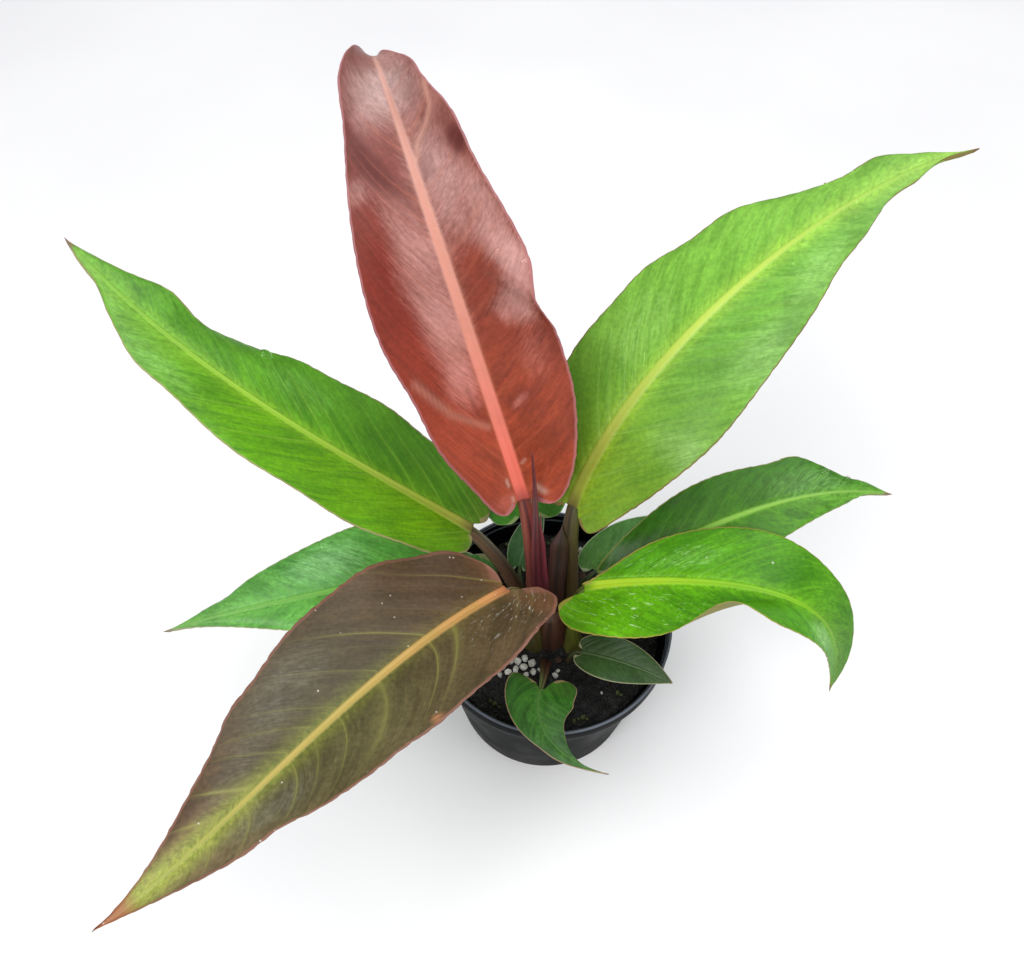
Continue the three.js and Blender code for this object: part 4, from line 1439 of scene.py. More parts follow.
LEAVES = (
    Leaf(
        "red", Grid.LONG, Slot.RED, Slot.MAROON,
        midrib=2.4, rib=((-15, 9, 189), (-34, 30, 257), (-57, 64, 321), (-78.5, 121, 356),
                         (-77.5, 131, 318)),
        face=(0, -1, 0.35), tip_face=(0.1, 0.2, 1), tip_turn=(0.8, 0.93),
        roll=(-3, -3, -2), fold=(13, 11, 15), curl=1.8, wave=(0.8, 3.5, 0.2),
        left=Half(34.5, 0.84, 1.12, 4, 9, round=3.5,
                  dents=((0.3, -2.3, 0.08), (0.88, 1.5, 0.04), (0.86, 2, 0.04)), lifts=((0.83, 3, 0.05),)),
        right=Half(36, 0.71, 1.34, 2.5, 11, round=3.5,
                   dents=((0.33, -1.2, 0.06), (0.42, -4.5, 0.045), (0.75, 4.2, 0.07), (0.86, 4, 0.05)),
                   lifts=((0.42, 5, 0.05), (0.8, -2, 0.05))),
        stalk=Stalk((-4.5, 0, 70), ((-6.5, 8, 125),), 14, (7, 5, 2), (4.5, 3.2, 1.9)),
        vein_gap=9, lean=(1.0, 0.5), sweep=(0.9, 0.3), quilt=0.1, rib_share=1.05, rib_hold=2.3,
        # Painted sheen where the light glances off the blade's undulations.
        painted_sheens=(
            Patch(0.82, -0.3, 0.06, 0.6, 0.75), Patch(0.67, -0.85, 0.025, 0.2, 0.55),
            Patch(0.6, -0.3, 0.07, 0.35, 0.5, -0.2), Patch(0.48, -0.28, 0.1, 0.32, 0.75, -0.1),
            Patch(0.37, -0.28, 0.08, 0.3, 0.75), Patch(0.28, -0.33, 0.05, 0.26, 0.7),
            Patch(0.66, 0.3, 0.08, 0.45, 0.8), Patch(0.82, 0.3, 0.05, 0.5, 0.6),
            Patch(0.57, 0.75, 0.08, 0.26, 0.85, 0.1), Patch(0.46, 0.85, 0.07, 0.2, 0.8, 0.1),
            Patch(0.56, 0.2, 0.05, 0.3, 0.4), Patch(0.41, 0.62, 0.035, 0.27, 0.85),
            Patch(0.31, 0.65, 0.05, 0.22, 0.3), Patch(0.01, -0.55, 0.02, 0.35, 0.6),
            Patch(0.23, 0.38, 0.012, 0.12, 0.7, 0.1),
        ),
        # Painted shade where the undulations turn from the light; the narrow patch at the base is the blade's
        # dark lip.
        shades=(
            Patch(0.695, 0.85, 0.028, 0.2, 1), Patch(0.71, -0.6, 0.04, 0.45, 0.9, -0.16),
            Patch(0.88, -0.5, 0.03, 0.35, 0.35), Patch(0.8, 0.42, 0.03, 0.25, 0.35),
            Patch(0.0, 0.5, 0.007, 0.14, 0.9), Patch(0.25, -0.3, 0.05, 0.05, 0.45),
        ),
        glosses=(Patch(0.45, -0.32, 0.2, 0.25, 0.8), Patch(0.6, 0.7, 0.2, 0.4, 0.8)),
        marks=(
            Mark(((0.69, 2), (0.715, 4.2), (0.737, 10.5), (0.761, 14.4), (0.8, 15.5)), 1.0, 0.6),
            Mark(((0.189, -4.8), (0.241, -17.3), (0.322, -27.3)), 1.5, 0.35),
            Mark(((0.03, 8), (0.018, 10.2)), 1.9, 1), Mark(((0.09, 4.1), (0.1, 6.4)), 0.5, 0.8),
            Mark(((0.045, -4.4), (0.06, -4.6)), 0.7, 0.9), Mark(((0.005, -4.4), (0.015, -4.5)), 0.8, 0.9),
        ),
    ),
    Leaf(
        "green_right", Grid.LONG, Slot.GREEN, Slot.OLIVE,
        midrib=2.4, rib=((7, 9, 184), (28, 42, 249), (104, 81, 307), (159, 90, 314)),
        face=(0, -0.1, 1), roll=(4, 1, 4), fold=(14, -3, 8), curl=-1.2, wave=(1.2, 4, 0.6),
        left=Half(36.5, 0.72, 1.42, 3, 8,
                  dents=((0.45, 4, 0.07), (0.62, 5, 0.07), (0.86, 7, 0.05), (0.93, 3, 0.03))),
        right=Half(39.5, 0.9, 1.59, 8, 11.5, round=3,
                   dents=((0.7, -1.5, 0.05), (0.83, -3.5, 0.05), (0.93, -5, 0.03))),
        stalk=Stalk((9, 1, 70), ((10.5, 13, 122),), 14, (7, 5.5, 2), (4.5, 3.4, 1.9), flare=0.6),
        lean=(1.0, 1.0), sweep=(0.3, 0.3),
        shades=(
            Patch(0.16, -0.75, 0.1, 0.35, 0.5), Patch(0.3, 0.6, 0.06, 0.4, 0.35, 0.1),
            Patch(0.42, 0.5, 0.05, 0.4, 0.3, 0.1), Patch(0.56, 0.8, 0.05, 0.2, 0.45),
        ),
        painted_sheens=(Patch(0.24, 0.75, 0.05, 0.35, 0.35), Patch(0.36, -0.5, 0.1, 0.4, 0.25),
                Patch(0.48, 0.75, 0.1, 0.3, 0.4), Patch(0.66, 0.6, 0.08, 0.4, 0.3)),
    ),
    Leaf(
        "green_left", Grid.LONG, Slot.GREEN, Slot.OLIVE,
        midrib=2.3, rib=((-39, 10, 162), (-96, 18, 211), (-152, 30, 245), (-201, 71, 283)),
        face=(0.1, -0.05, 1), roll=(3, -12, 4), fold=(13, 11, 6), curl=-1.8, wave=(1.2, 4, 0.1),
        left=Half(35, 0.72, 1.33, 2, 6.5, round=3.2,
                  dents=((0.5, 1.3, 0.08), (0.75, 3.5, 0.06), (0.9, -3, 0.04))),
        right=Half(34.5, 0.65, 1.1, 7, 10,
                   dents=((0.6, -3.5, 0.06), (0.72, -4.5, 0.06), (0.82, 2.5, 0.05)),
                   lifts=((0.66, -5, 0.07),)),
        stalk=Stalk((-8, 2, 70), ((-15, 9, 112),), 12, (5.5, 4.4, 2), (4, 3.2, 1.8)),
        vein_gap=9, lean=(1.3, 1.3), sweep=(0.3, 0.3), rib_hold=0.85,
        shades=(Patch(0.25, 0.6, 0.16, 0.4, 0.25), Patch(0.62, 0.7, 0.08, 0.3, 0.3)),
        painted_sheens=(Patch(0.72, -0.7, 0.1, 0.4, 0.35), Patch(0.48, 0.5, 0.1, 0.3, 0.25)),
    ),
    Leaf(
        "bronze", Grid.LONG, Slot.BRONZE, Slot.OLIVE,
        midrib=2.5, rib=((-22, -28, 173), (-82, -76, 197), (-119, -138, 192), (-163, -166, 182)),
        face=(0, 0, 1), roll=(-19, -1, 3), fold=(15, 14, 6), curl=1, wave=(1.2, 4.5, 0.3),
        left=Half(38.5, 0.48, 1.29, 8, 11.5, dents=((0.45, -1.5, 0.05), (0.68, -2.5, 0.05))),
        right=Half(40, 0.64, 1.53, 1.5, 10.5, dents=((0.6, 2.3, 0.05),)),
        stalk=Stalk((-9, -9, 70), ((-9, -12, 112), (-13, -17, 150)), 10, (6.2, 4.4, 2.1), (4, 3.2, 1.9),
                    flare=0.4),
        vein_gap=15, lean=(0.05, 1.05), sweep=(1.1, 0.35), quilt=0.16, rib_share=0.9, ragged=0.15,
        marks=(Mark(((0.35, -34.3), (0.354, -34.8)), 1.3, 0.9),),
        shades=(Patch(0.1, 0.6, 0.1, 0.4, 0.3), Patch(0.78, 0.75, 0.07, 0.3, 0.55)),
        painted_sheens=(Patch(0.5, 0.6, 0.12, 0.35, 0.4), Patch(0.66, -0.4, 0.1, 0.35, 0.4),
                Patch(0.68, 0.35, 0.1, 0.25, 0.3)),
        scuffs=(Patch(0.02, -0.6, 0.07, 0.4, 0.5), Patch(0.12, -0.45, 0.06, 0.3, 0.25)),
    ),
    Leaf(
        "arched_right", Grid.LONG, Slot.GREEN, Slot.OLIVE,
        midrib=2.2, rib=((15, -8, 139), (51, -10, 155), (97, -18, 164), (137, -25, 171), (136, -46, 104)),
        face=(0.1, -0.2, 1), roll=(3, 14, 1), curl=-0.2, wave=(0.8, 3, 0.4),
        left=Half(31, 1.3, 1.48, 1, 1.5, round=0.5, dents=((0.75, 1.3, 0.06),)),
        right=Half(31, 0.61, 1.41, 13, 8.5,
                   dents=((0.45, -9, 0.08), (0.62, -1, 0.06)), lifts=((0.47, 13, 0.12),)),
        stalk=Stalk((13, -9, 70), ((11.5, -10, 104),), 9, (8, 4.2, 1.9), (6, 3, 1.7), flare=0.35),
        lean=(1.1, 1.1), sweep=(0.4, 0.4),
        painted_sheens=(Patch(0.72, 0.45, 0.07, 0.35, 0.6), Patch(0.3, -0.55, 0.12, 0.2, 0.3)),
        shades=(Patch(0.55, -0.4, 0.1, 0.4, 0.3), Patch(0.9, 0.3, 0.06, 0.6, 0.4)),
        scuffs=(Patch(0.16, 0.55, 0.17, 0.45, 0.9), Patch(0.22, -0.55, 0.14, 0.35, 0.6)),
    ),
    Leaf(
        "back_right", Grid.MIDDLE, Slot.DEEP, Slot.OLIVE,
        midrib=1.8, rib=((31, 3, 132), (78, 21, 155), (125, 38, 165), (171, 40, 150)),
        face=(0, -0.2, 1), roll=(0, -4, 1), curl=-1.7, wave=(1, 3, 0.8),
        left=Half(22.5, 0.85, 1.05, 7, 5, round=3, dents=((0.7, 4, 0.06), (0.85, -2.5, 0.05))),
        right=Half(24, 0.71, 1.46, 12, 8, dents=((0.9, -2, 0.05),)),
        stalk=Stalk((13, 2, 70), ((17, 2, 106),), 10, (4, 3, 1.5), (3.4, 2.4, 1.4)),
        lean=(1.1, 1.1), painted_sheens=(Patch(0.7, -0.3, 0.15, 0.4, 0.35),),
    ),
    Leaf(
        "low_left", Grid.MIDDLE, Slot.GREEN, Slot.OLIVE,
        midrib=1.8, rib=((-45, 16, 130), (-88, -8, 133), (-139, -13, 135), (-190, -25, 121)),
        face=(0, -0.2, 1), roll=(0, 2, -2), fold=(12, 9, 6), curl=-2.8, wave=(1, 3, 0.5),
        left=Half(29, 0.48, 1.58, 12, 8),
        right=Half(29.5, 0.73, 1.42, 11.5, 8, dents=((0.8, -1.7, 0.05),)),
        stalk=Stalk((-13, -4, 70), ((-24, 8, 102),), 9, (4, 3, 1.5), (3.4, 2.4, 1.4)),
        lean=(1.1, 1.1), painted_sheens=(Patch(0.45, 0.5, 0.15, 0.4, 0.5),),
        shades=(Patch(0.5, 0.1, 0.2, 0.14, 0.3),),
    ),
    Leaf(
        "behind_red", Grid.MIDDLE, Slot.DEEP, Slot.OLIVE,
        midrib=1.8, rib=((-13, 27, 153), (-22, 50, 189), (-35, 86, 222), (-52, 127, 236)),
        face=(0, -0.9, 0.5), fold=(12, 9, 6), curl=1, wave=(1, 3, 0.1),
        left=Half(23, 0.6, 1.3, 5, 9),
        right=Half(25, 0.6, 1.3, 5, 9),
        stalk=Stalk((-2, 12, 70), ((-7, 20, 112),), 9, (3.6, 2.8, 1.5), (3.2, 2.4, 1.4)),
    ),
    Leaf(
        "small_front", Grid.SMALL, Slot.DARK, Slot.MAROON,
        midrib=0.9, rib=((-5, -44, 100), (-11.5, -62, 107), (0, -83, 107), (26, -87, 104)),
        face=(0, -0.3, 1), roll=(-1, 20, 26), curl=-0.8, wave=(0.4, 2, 0),
        left=Half(15.2, 0.5, 2, 9.6, 9, round=0, dents=((0.33, 2.6, 0.11), (0.75, -1.6, 0.1))),
        right=Half(15.6, 0.43, 2.1, 2.5, 6, round=2, dents=((0.5, -1.3, 0.1),)),
        stalk=Stalk((-1, -17, 70), ((-2, -24, 94),), 4, (3.4, 2.6, 0.9), (2, 1.5, 0.8)),
        rib_share=0.5, ragged=0.03, vein_gap=5.5, quilt=0.12,
        painted_sheens=(Patch(0.2, -0.4, 0.1, 0.25, 0.35), Patch(0.45, 0.45, 0.12, 0.25, 0.25)),
        shades=(Patch(0.6, -0.3, 0.12, 0.3, 0.4),),
    ),
    Leaf(
        "small_right", Grid.SMALL, Slot.DARK, Slot.OLIVE,
        midrib=0.9, rib=((15, -26, 104), (31, -31, 108), (45, -37, 110), (59, -44, 108)),
        face=(0, -0.3, 1), fold=(10, 8, 6), curl=-0.2, wave=(0.4, 2, 0.3),
        left=Half(11.2, 0.58, 1.03, 1.5, 3, round=1),
        right=Half(11.1, 0.58, 1.02, 3, 2.5, round=1),
        stalk=Stalk((10, -19, 70), ((10, -21, 94),), 4, (2.2, 1.6, 0.75), (1.8, 1.3, 0.75)),
        rib_share=0.35, ragged=0.03, vein_gap=5, quilt=0.1,
    ),
    Leaf(
        "small_back", Grid.SMALL, Slot.DARK, Slot.OLIVE,
        midrib=0.9, rib=((-16, 27, 96), (-14, 38, 100), (-9, 48, 104), (-3, 58, 105)),
        face=(-0.3, -0.5, 1), fold=(10, 8, 6), curl=0.3, wave=(0.4, 2, 0.6),
        left=Half(8.5, 0.6, 0.9, 2, 3, round=1),
        right=Half(8.5, 0.6, 0.9, 2, 3, round=1),
        stalk=Stalk((-11, 14, 70), ((-15, 18, 88),), 4, (2, 1.5, 0.75), (1.8, 1.3, 0.75)),
        rib_share=0.4, ragged=0.03, vein_gap=5,
    ),
    Leaf(
        "grey_right", Grid.SMALL, Slot.DARK, Slot.OLIVE,
        midrib=1, rib=((24, 18, 108), (40, 32, 112), (56, 44, 112), (72, 54, 108)),
        face=(0, -0.3, 1), fold=(10, 8, 6), curl=0.3, wave=(0.5, 2, 0.2),
        left=Half(14, 0.5, 1.2, 5, 4.5, round=1.5),
        right=Half(14, 0.5, 1.2, 5, 4.5, round=1.5),
        stalk=Stalk((8, 15, 70), ((14, 15, 98),), 5, (2.4, 1.8, 0.8), (2, 1.5, 0.8)),
        rib_share=0.4, ragged=0.03, vein_gap=6,
    ),
)


# The crown: the new leaf's spear and sheath, and the bases of the stalks

# The wide way of the crown's ovals
ACROSS = np.array([1.0, 0.0, 0.0])


@dataclass(frozen=True)
class Roll:
    """A rolled or folded growing part: a tapering tube with a seam along it."""

    name: str
    node: str
    path: tuple[Triple, ...]
    wide: Triple
    deep: Triple
    body: Codes
    left: str
    # The seam's dark colour is painted shade in that recess.
    groove: str
    seam: float = 0.2
    cap: float = 0.0
    cap_reach: float = 0.3
    roughness: float = 0.36

    def build(self) -> Piece:
        """Make the part's piece.

        Returns:
            The piece.
        """
        shell = tube(self.path, self.wide, self.deep, ACROSS, self.seam, cap=self.cap,
                     cap_reach=self.cap_reach)
        finish = StalkFinish(self.body, self.left, self.groove, roughness=self.roughness)
        piece = shell.piece(self.name, finish.material(f"{self.name}_skin"))
        return seat(piece, self.node)


@dataclass(frozen=True)
class Crown:
    """The middle of the plant: rolls of new growth, and the swollen foot that the stalks grow from."""

    spear: Roll = Roll(
        "new_leaf", "new_leaf_spear",
        ((-3.5, -6, 84), (-8, 1, 120), (-10, 1, 150), (-8, 0, 183), (-12, 11, 221)),
        (2.9, 2.2, 0.35), (1.7, 1.4, 0.3), ("5a242a", "5e1f2a", "68262a"), "6c2c30", "30121a",
    )
    sheath: Roll = Roll(
        "leaf_sheath", "sheath", ((3, -5, 78), (1, 1, 118), (2.5, 5, 150), (3.4, 8, 169)),
        (4.5, 4.6, 4.9), (1.8, 1.6, 1.3), ("48301c", "3a221a", "361e1a"), "46241f", "201210", cap=0.93,
        cap_reach=0.18,
    )
    flap: Roll = Roll(
        "stipule", "", ((-3.2, 0, 118), (-6.5, 4, 145), (-7.5, 5, 165), (-7, 5, 183)),
        (2.6, 2.6, 1.6), (0.9, 0.8, 0.5), ("5e222c", "7c2a3a", "a84558"), "8e3846", "561c28", cap=0.9,
        cap_reach=0.45,
    )
    foot: tuple[Triple, ...] = ((-1, -3, 62), (-1, -3, 84), (0, -3, 102))
    foot_half: Triple = (12, 12.5, 6)
    skin: StalkFinish = StalkFinish(("4f3a22", "4a2e22", "5a3a28"), "5a3a24", "2e1c14", roughness=0.5)

    def build(self) -> list[Piece]:
        """Make the crown's pieces.

        Returns:
            The pieces.
        """
        shell = tube(self.foot, self.foot_half, self.foot_half, ACROSS)
        foot = shell.piece("crown_foot", self.skin.material("crown_skin"))
        rolls = [roll.build() for roll in (self.spear, self.sheath, self.flap)]
        return [seat(foot, "stem"), *rolls]


# Geometry trees


class Growth(Graph):
    """A geometry tree in the making, with named inputs."""

    KINDS = {int: "Int", float: "Float", type(None): "Material"}

    def __init__(self, name: str, inputs: dict[str, Any]) -> None:
        """Start a tree whose named inputs have these defaults, with None for a material."""
        super().__init__(bpy.data.node_groups.new(name, "GeometryNodeTree"))
        self.tree.interface.new_socket("Geometry", in_out="INPUT", socket_type="NodeSocketGeometry")
        for key, value in inputs.items():
            kind = f"NodeSocket{self.KINDS[type(value)]}"
            socket = self.tree.interface.new_socket(key, in_out="INPUT", socket_type=kind)
            if value is not None:
                socket.default_value = value
        self.tree.interface.new_socket("Geometry", in_out="OUTPUT", socket_type="NodeSocketGeometry")
        self.given = self.node("NodeGroupInput").outputs
        self.result = self.node("NodeGroupOutput").inputs

    def named(self, name: str, kind: str = "FLOAT") -> Socket:
        """Read the values that the mesh keeps under a name."""
        return self.output("GeometryNodeInputNamedAttribute", {0: name}, data_type=kind)

    def spread(self, low: Triple, high: Triple, seed: int) -> Socket:
        """Random vectors between two corners, the same on every run."""
        return self.output("FunctionNodeRandomValue", {0: low, 1: high, "Seed": seed},
                           data_type="FLOAT_VECTOR")

    def scaled(self, vector: Socket, factor: Any) -> Socket:
        """A vector times a number."""
        return self.output("ShaderNodeVectorMath", {0: vector, "Scale": factor}, operation="SCALE")

    def balls(self, squash: float, turn: Socket) -> Socket:
        """Balls on the mesh's points, each of the half size that its point keeps.

        Args:
            squash: A ball's depth as a share of its width. The input Flat is its height.
            turn: How each ball is turned.

        Returns:
            The balls.
        """
        ball = self.output("GeometryNodeMeshIcoSphere", {"Radius": 1.0, "Subdivisions": 2})
        size = self.scaled(self.vector(1.0, squash, self.given["Flat"]), self.named("half"))
        feeds = {"Points": self.given["Geometry"], "Instance": ball, "Rotation": turn, "Scale": size}
        return self.output("GeometryNodeInstanceOnPoints", feeds)

    def roughened(self, shape: Socket, per_metre: float, detail: float, push: Any) -> Socket:
        """Push a shape's points about by noise.

        Args:
            shape: The shape.
            per_metre: The noise's waves in a metre.
            detail: The noise's detail.
            push: How far it pushes, in metres.

        Returns:
            The rough shape.
        """
        real = self.output("GeometryNodeRealizeInstances", {0: shape})
        feeds = {"Vector": self.output("GeometryNodeInputPosition"), "Scale": per_metre, "Detail": detail}
        rough = self.node("ShaderNodeTexNoise", feeds).outputs["Color"]
        centred = self.output("ShaderNodeVectorMath", {0: rough, 1: (-0.5, -0.5, -0.5)}, operation="ADD")
        return self.output("GeometryNodeSetPosition",
                           {"Geometry": real, "Offset": self.scaled(centred, push)})

    def dressed(self, shape: Socket) -> None:
        """End the tree with a plain mesh in the material that goes in."""
        real = self.output("GeometryNodeRealizeInstances", {0: shape})
        self.feed(self.result[0],
                  self.output("GeometryNodeSetMaterial", {0: real, 2: self.given["Material"]}))

    def run(self, name: str, base: bpy.types.Mesh, values: dict[str, Any],
            smooth: bool = True) -> Piece:
        """Grow the tree on a mesh and keep what it makes as a plain mesh.

        Args:
            name: The new object's name.
            base: The mesh that goes in.
            values: Each named input's value.
            smooth: Whether its faces are shaded as one smooth surface.

        Returns:
            The object.
        """
        piece = link(name, base)
        modifier = piece.modifiers.new(name, "NODES")
        modifier.node_group = self.tree
        for item in self.tree.interface.items_tree:
            if item.in_out == "INPUT" and item.name in values:
                modifier[item.identifier] = values[item.name]
        grown = piece.evaluated_get(bpy.context.evaluated_depsgraph_get())
        mesh = bpy.data.meshes.new_from_object(grown)
        piece.modifiers.clear()
        piece.data = mesh
        mesh.name = name
        mesh.polygons.foreach_set("use_smooth", [smooth] * len(mesh.polygons))
        mesh.update()
        return piece


@dataclass(frozen=True)
class Pot:
    """The nursery pot: a tapered cup with a raised rim band, a stepped lip and drain holes."""

    height: float = 93
    rim_radius: float = 65
    band_height: float = 8.5
    lip: float = 2.3
    lip_bevel: Pair = (0.7, 1.6)
    ledge: float = 5.5
    body_radius: float = 61.6
    base_radius: float = 51
    wall: float = 1.8
    floor: float = 2.4
    edge_round: float = 0.9
    edge_most: float = 0.42
    arc_points: int = 5
    drain_radius: float = 5
    drain_circle: float = 36
    drain_count: int = 6
    drain_sides: int = 32
    sides: int = 180
    guide_radius: float = 30

    def profile(self) -> list[Pair]:
        """The wall's outline as radius and height, from the middle of the underside round to the floor."""
        band, top = self.height - self.band_height, self.height
        inner = self.rim_radius - self.lip
        inset, drop = self.lip_bevel
        return [
            (0, 0), (self.base_radius, 0), (self.body_radius, band), (self.rim_radius, band),
            (self.rim_radius, top), (inner + inset, top), (inner, top - drop), (inner, top - self.ledge),
            (self.body_radius - self.wall, band - self.wall),
            (self.base_radius - self.wall, self.floor), (0, self.floor),
        ]

    def rounded(self) -> Array:
        """The outline with its corners rounded by short arcs.

        Returns:
            Points of the outline, in millimetres.
        """
        corners = [np.array(p, float) for p in self.profile()]
        points = [corners[0]]
        for before, here, after in zip(corners, corners[1:], corners[2:]):
            back, ahead = (float(np.linalg.norm(end - here)) for end in (before, after))
            reach = min(self.edge_round, self.edge_most * back, self.edge_most * ahead)
            start = here + (before - here) / back * reach
            end = here + (after - here) / ahead * reach
            for t in np.linspace(0, 1, self.arc_points):
                points.append(start * (1 - t) ** 2 + 2 * here * t * (1 - t) + end * t**2)
        return np.array([*points, corners[-1]])

    def tree(self) -> Growth:
        """The geometry tree that turns the outline round the pot's axis and cuts the drain holes.

        Returns:
            The tree.
        """
        inputs = {
            "Sides": self.sides, "Guide radius": 1.0, "Drain radius": 1.0,
            "Drain circle": 1.0, "Drain count": 6, "Material": None,
        }
        grow = Growth("turned_pot", inputs)
        given = grow.given
        outline = grow.output("GeometryNodeMeshToCurve", {0: given["Geometry"]})
        guide = grow.output("GeometryNodeCurvePrimitiveCircle",
                            {0: given["Sides"], 4: given["Guide radius"]})
        turned = grow.output("GeometryNodeCurveToMesh", {"Curve": guide, "Profile Curve": outline})
        merged = grow.output("GeometryNodeMergeByDistance", {"Geometry": turned, "Distance": 1e-5})
        closed = grow.output("GeometryNodeFlipFaces", {0: merged})
        feeds = {"Vertices": given["Drain count"], "Radius": given["Drain circle"]}
        ring = grow.output("GeometryNodeMeshCircle", feeds)
        feeds = {"Vertices": self.drain_sides, "Radius": given["Drain radius"],
                 "Depth": 4 * self.floor * MM}
        cutter = grow.output("GeometryNodeMeshCylinder", feeds)
        holes = grow.output("GeometryNodeInstanceOnPoints", {"Points": ring, "Instance": cutter})
        feeds = {"Mesh 1": closed, "Mesh 2": grow.output("GeometryNodeRealizeInstances", {0: holes})}
        grow.dressed(grow.output("GeometryNodeMeshBoolean", feeds, operation="DIFFERENCE"))
        return grow

    def build(self) -> Piece:
        """Make the pot.

        Returns:
            The piece.
        """
        points = [((x - self.guide_radius) * MM, -y * MM, 0.0) for x, y in self.rounded().tolist()]
        mesh = bpy.data.meshes.new("pot_outline")
        mesh.from_pydata(points, [(i, i + 1) for i in range(len(points) - 1)], [])
        values = {
            "Sides": self.sides, "Guide radius": self.guide_radius * MM,
            "Drain radius": self.drain_radius * MM, "Drain circle": self.drain_circle * MM,
            "Drain count": self.drain_count, "Material": PotFinish().material(),
        }
        return seat(self.tree().run("nursery_pot", mesh, values), "pot")


@dataclass(frozen=True)
class Bit:
    """One kind of loose bit on the soil.

    Each of the places is a bit's x, y and half size. flat is its height as a share of its width,
    sink how deep it lies as a share of its half height, and rough how far noise dents it.
    """

    name: str
    places: tuple[Triple, ...]
    flat: float
    finish: EarthFinish
    seed: int
    sink: float = 0.35
    smooth: bool = True
    rough: float = 0.0011


@dataclass(frozen=True)
class Soil:
    """The soil: a mounded plug with crumbs, stones, bark and moss tufts on it."""

    level: float = 79
    mound: float = 3
    mound_spread: float = 500
    grain: float = 0.8
    foot: float = 2.7
    foot_radius: float = 49.15
    slope: float = (Pot.body_radius - Pot.base_radius) / (Pot.height - Pot.band_height - Pot.wall - Pot.floor)
    edge_drop: float = 1.5
    rings: int = 80
    sides: int = 150
    lumps: tuple[Triple, ...] = ((1.3, 0.22, 1.7), (0.7, 0.7, 5.1))
    dark: EarthFinish = EarthFinish("dark_soil", "050505", "131110", 0.8, 140.0, 800.0, 0.8)
    crumb: EarthFinish = EarthFinish("soil_crumbs", "070707", "26221f", 0.75, 300.0, 1400.0, 0.5)
    crumb_density: float = 395000
    crumb_size: float = 0.95
    seed: int = 7

    # The least upward look of a face that crumbs lie on, the ends of their turn and size, and their noise
    CRUMB_UP = 0.3
    CRUMB_TURN = (3.14, 3.14, 3.14)
    CRUMB_SIZE = ((0.3, 0.3, 0.25), (1.5, 1.2, 0.9))
    CRUMB_ROUGH = (900.0, 1.0, 0.0009)

    # How far a placed bit is turned, its depth as a share of its width, and its noise
    BIT_TURN = (0.5, 0.5, 3.14)
    BIT_SQUASH = 0.82
    BIT_ROUGH = (420.0, 2.0)

    def height(self, x: Array, y: Array) -> Array:
        """Height of the soil at a place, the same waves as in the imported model."""
        waves = np.sin(0.31 * x + 1) * np.cos(0.27 * y) + 0.6 * np.sin(0.73 * x - 0.61 * y)
        return self.level + self.mound * np.exp(-(x * x + y * y) / self.mound_spread) + self.grain * waves

    def radius(self, z: float) -> float:
        """The plug's radius at a height, just inside the pot's wall."""
        return self.foot_radius + self.slope * (z - self.foot)

    def bed(self) -> Shell:
        """The plug's closed shell, with a lumpy upper face.

        Returns:
            The shell.
        """
        angle = 2 * math.pi * np.arange(self.sides) / self.sides
        share = np.sqrt(np.arange(1, self.rings + 1) / self.rings)
        edge = self.radius(self.level - self.edge_drop)
        x = np.outer(share, np.cos(angle)) * edge
        y = np.outer(share, np.sin(angle)) * edge
        lumps = np.array([self.lump(a, b) for a, b in zip(x.ravel(), y.ravel())]).reshape(x.shape)
        z = self.height(x, y) + lumps - self.edge_drop * share[:, None] ** 24
        top = np.stack([x, y, z], -1).reshape(-1, 3)
        low = self.radius(self.foot)
        bottom = np.stack([np.cos(angle) * low, np.sin(angle) * low, np.full(self.sides, self.foot)], -1)
        centres = np.array([[0, 0, float(self.height(np.zeros(1), np.zeros(1))[0])], [0, 0, self.foot]])
        points = np.concatenate([top, bottom, centres])
        faces: list[tuple[int, ...]] = []
        count = self.rings * self.sides
        for k in range(self.sides):
            ahead = (k + 1) % self.sides
            faces.append((count + self.sides, k, ahead))
            for i in range(self.rings):
                a, b = i * self.sides, (i + 1) * self.sides
                faces.append((a + k, b + k, b + ahead, a + ahead))
            faces.append((count + self.sides + 1, count + ahead, count + k))
        return Shell(points, faces)

    def lump(self, x: float, y: float) -> float:
        """Height of the loose lumps at a place, from each kind's height, waves per millimetre and layer."""
        return sum(high * noise.noise(Vector((x * waves, y * waves, layer))) for high, waves,
                   layer in self.lumps)

    def scatter_tree(self) -> Growth:
        """The geometry tree that strews crumbs over the upward faces of a mesh.

        Returns:
            The tree.
        """
        inputs = {
            "Per square metre": 400000.0, "Half size": 0.001, "Seed": 1,
            "Material": None,
        }
        grow = Growth("strewn_crumbs", inputs)
        given = grow.given
        normal = grow.output("GeometryNodeInputNormal")
        up = grow.node("ShaderNodeSeparateXYZ", {0: normal}).outputs[2]
        faces = grow.output("FunctionNodeCompare", {0: up, 1: self.CRUMB_UP}, operation="GREATER_THAN")
        feeds = {"Mesh": given["Geometry"], "Selection": faces, "Density": given["Per square metre"],
                 "Seed": given["Seed"]}
        points = grow.output("GeometryNodeDistributePointsOnFaces", feeds)
        ball = grow.output("GeometryNodeMeshIcoSphere", {"Radius": given["Half size"], "Subdivisions": 1})
        turn = grow.spread(tuple(-end for end in self.CRUMB_TURN), self.CRUMB_TURN, 1)
        size = grow.spread(*self.CRUMB_SIZE, 2)
        feeds = {"Points": points, "Instance": ball, "Rotation": turn, "Scale": size}
        grains = grow.output("GeometryNodeInstanceOnPoints", feeds)
        grow.dressed(grow.roughened(grains, *self.CRUMB_ROUGH))
        return grow

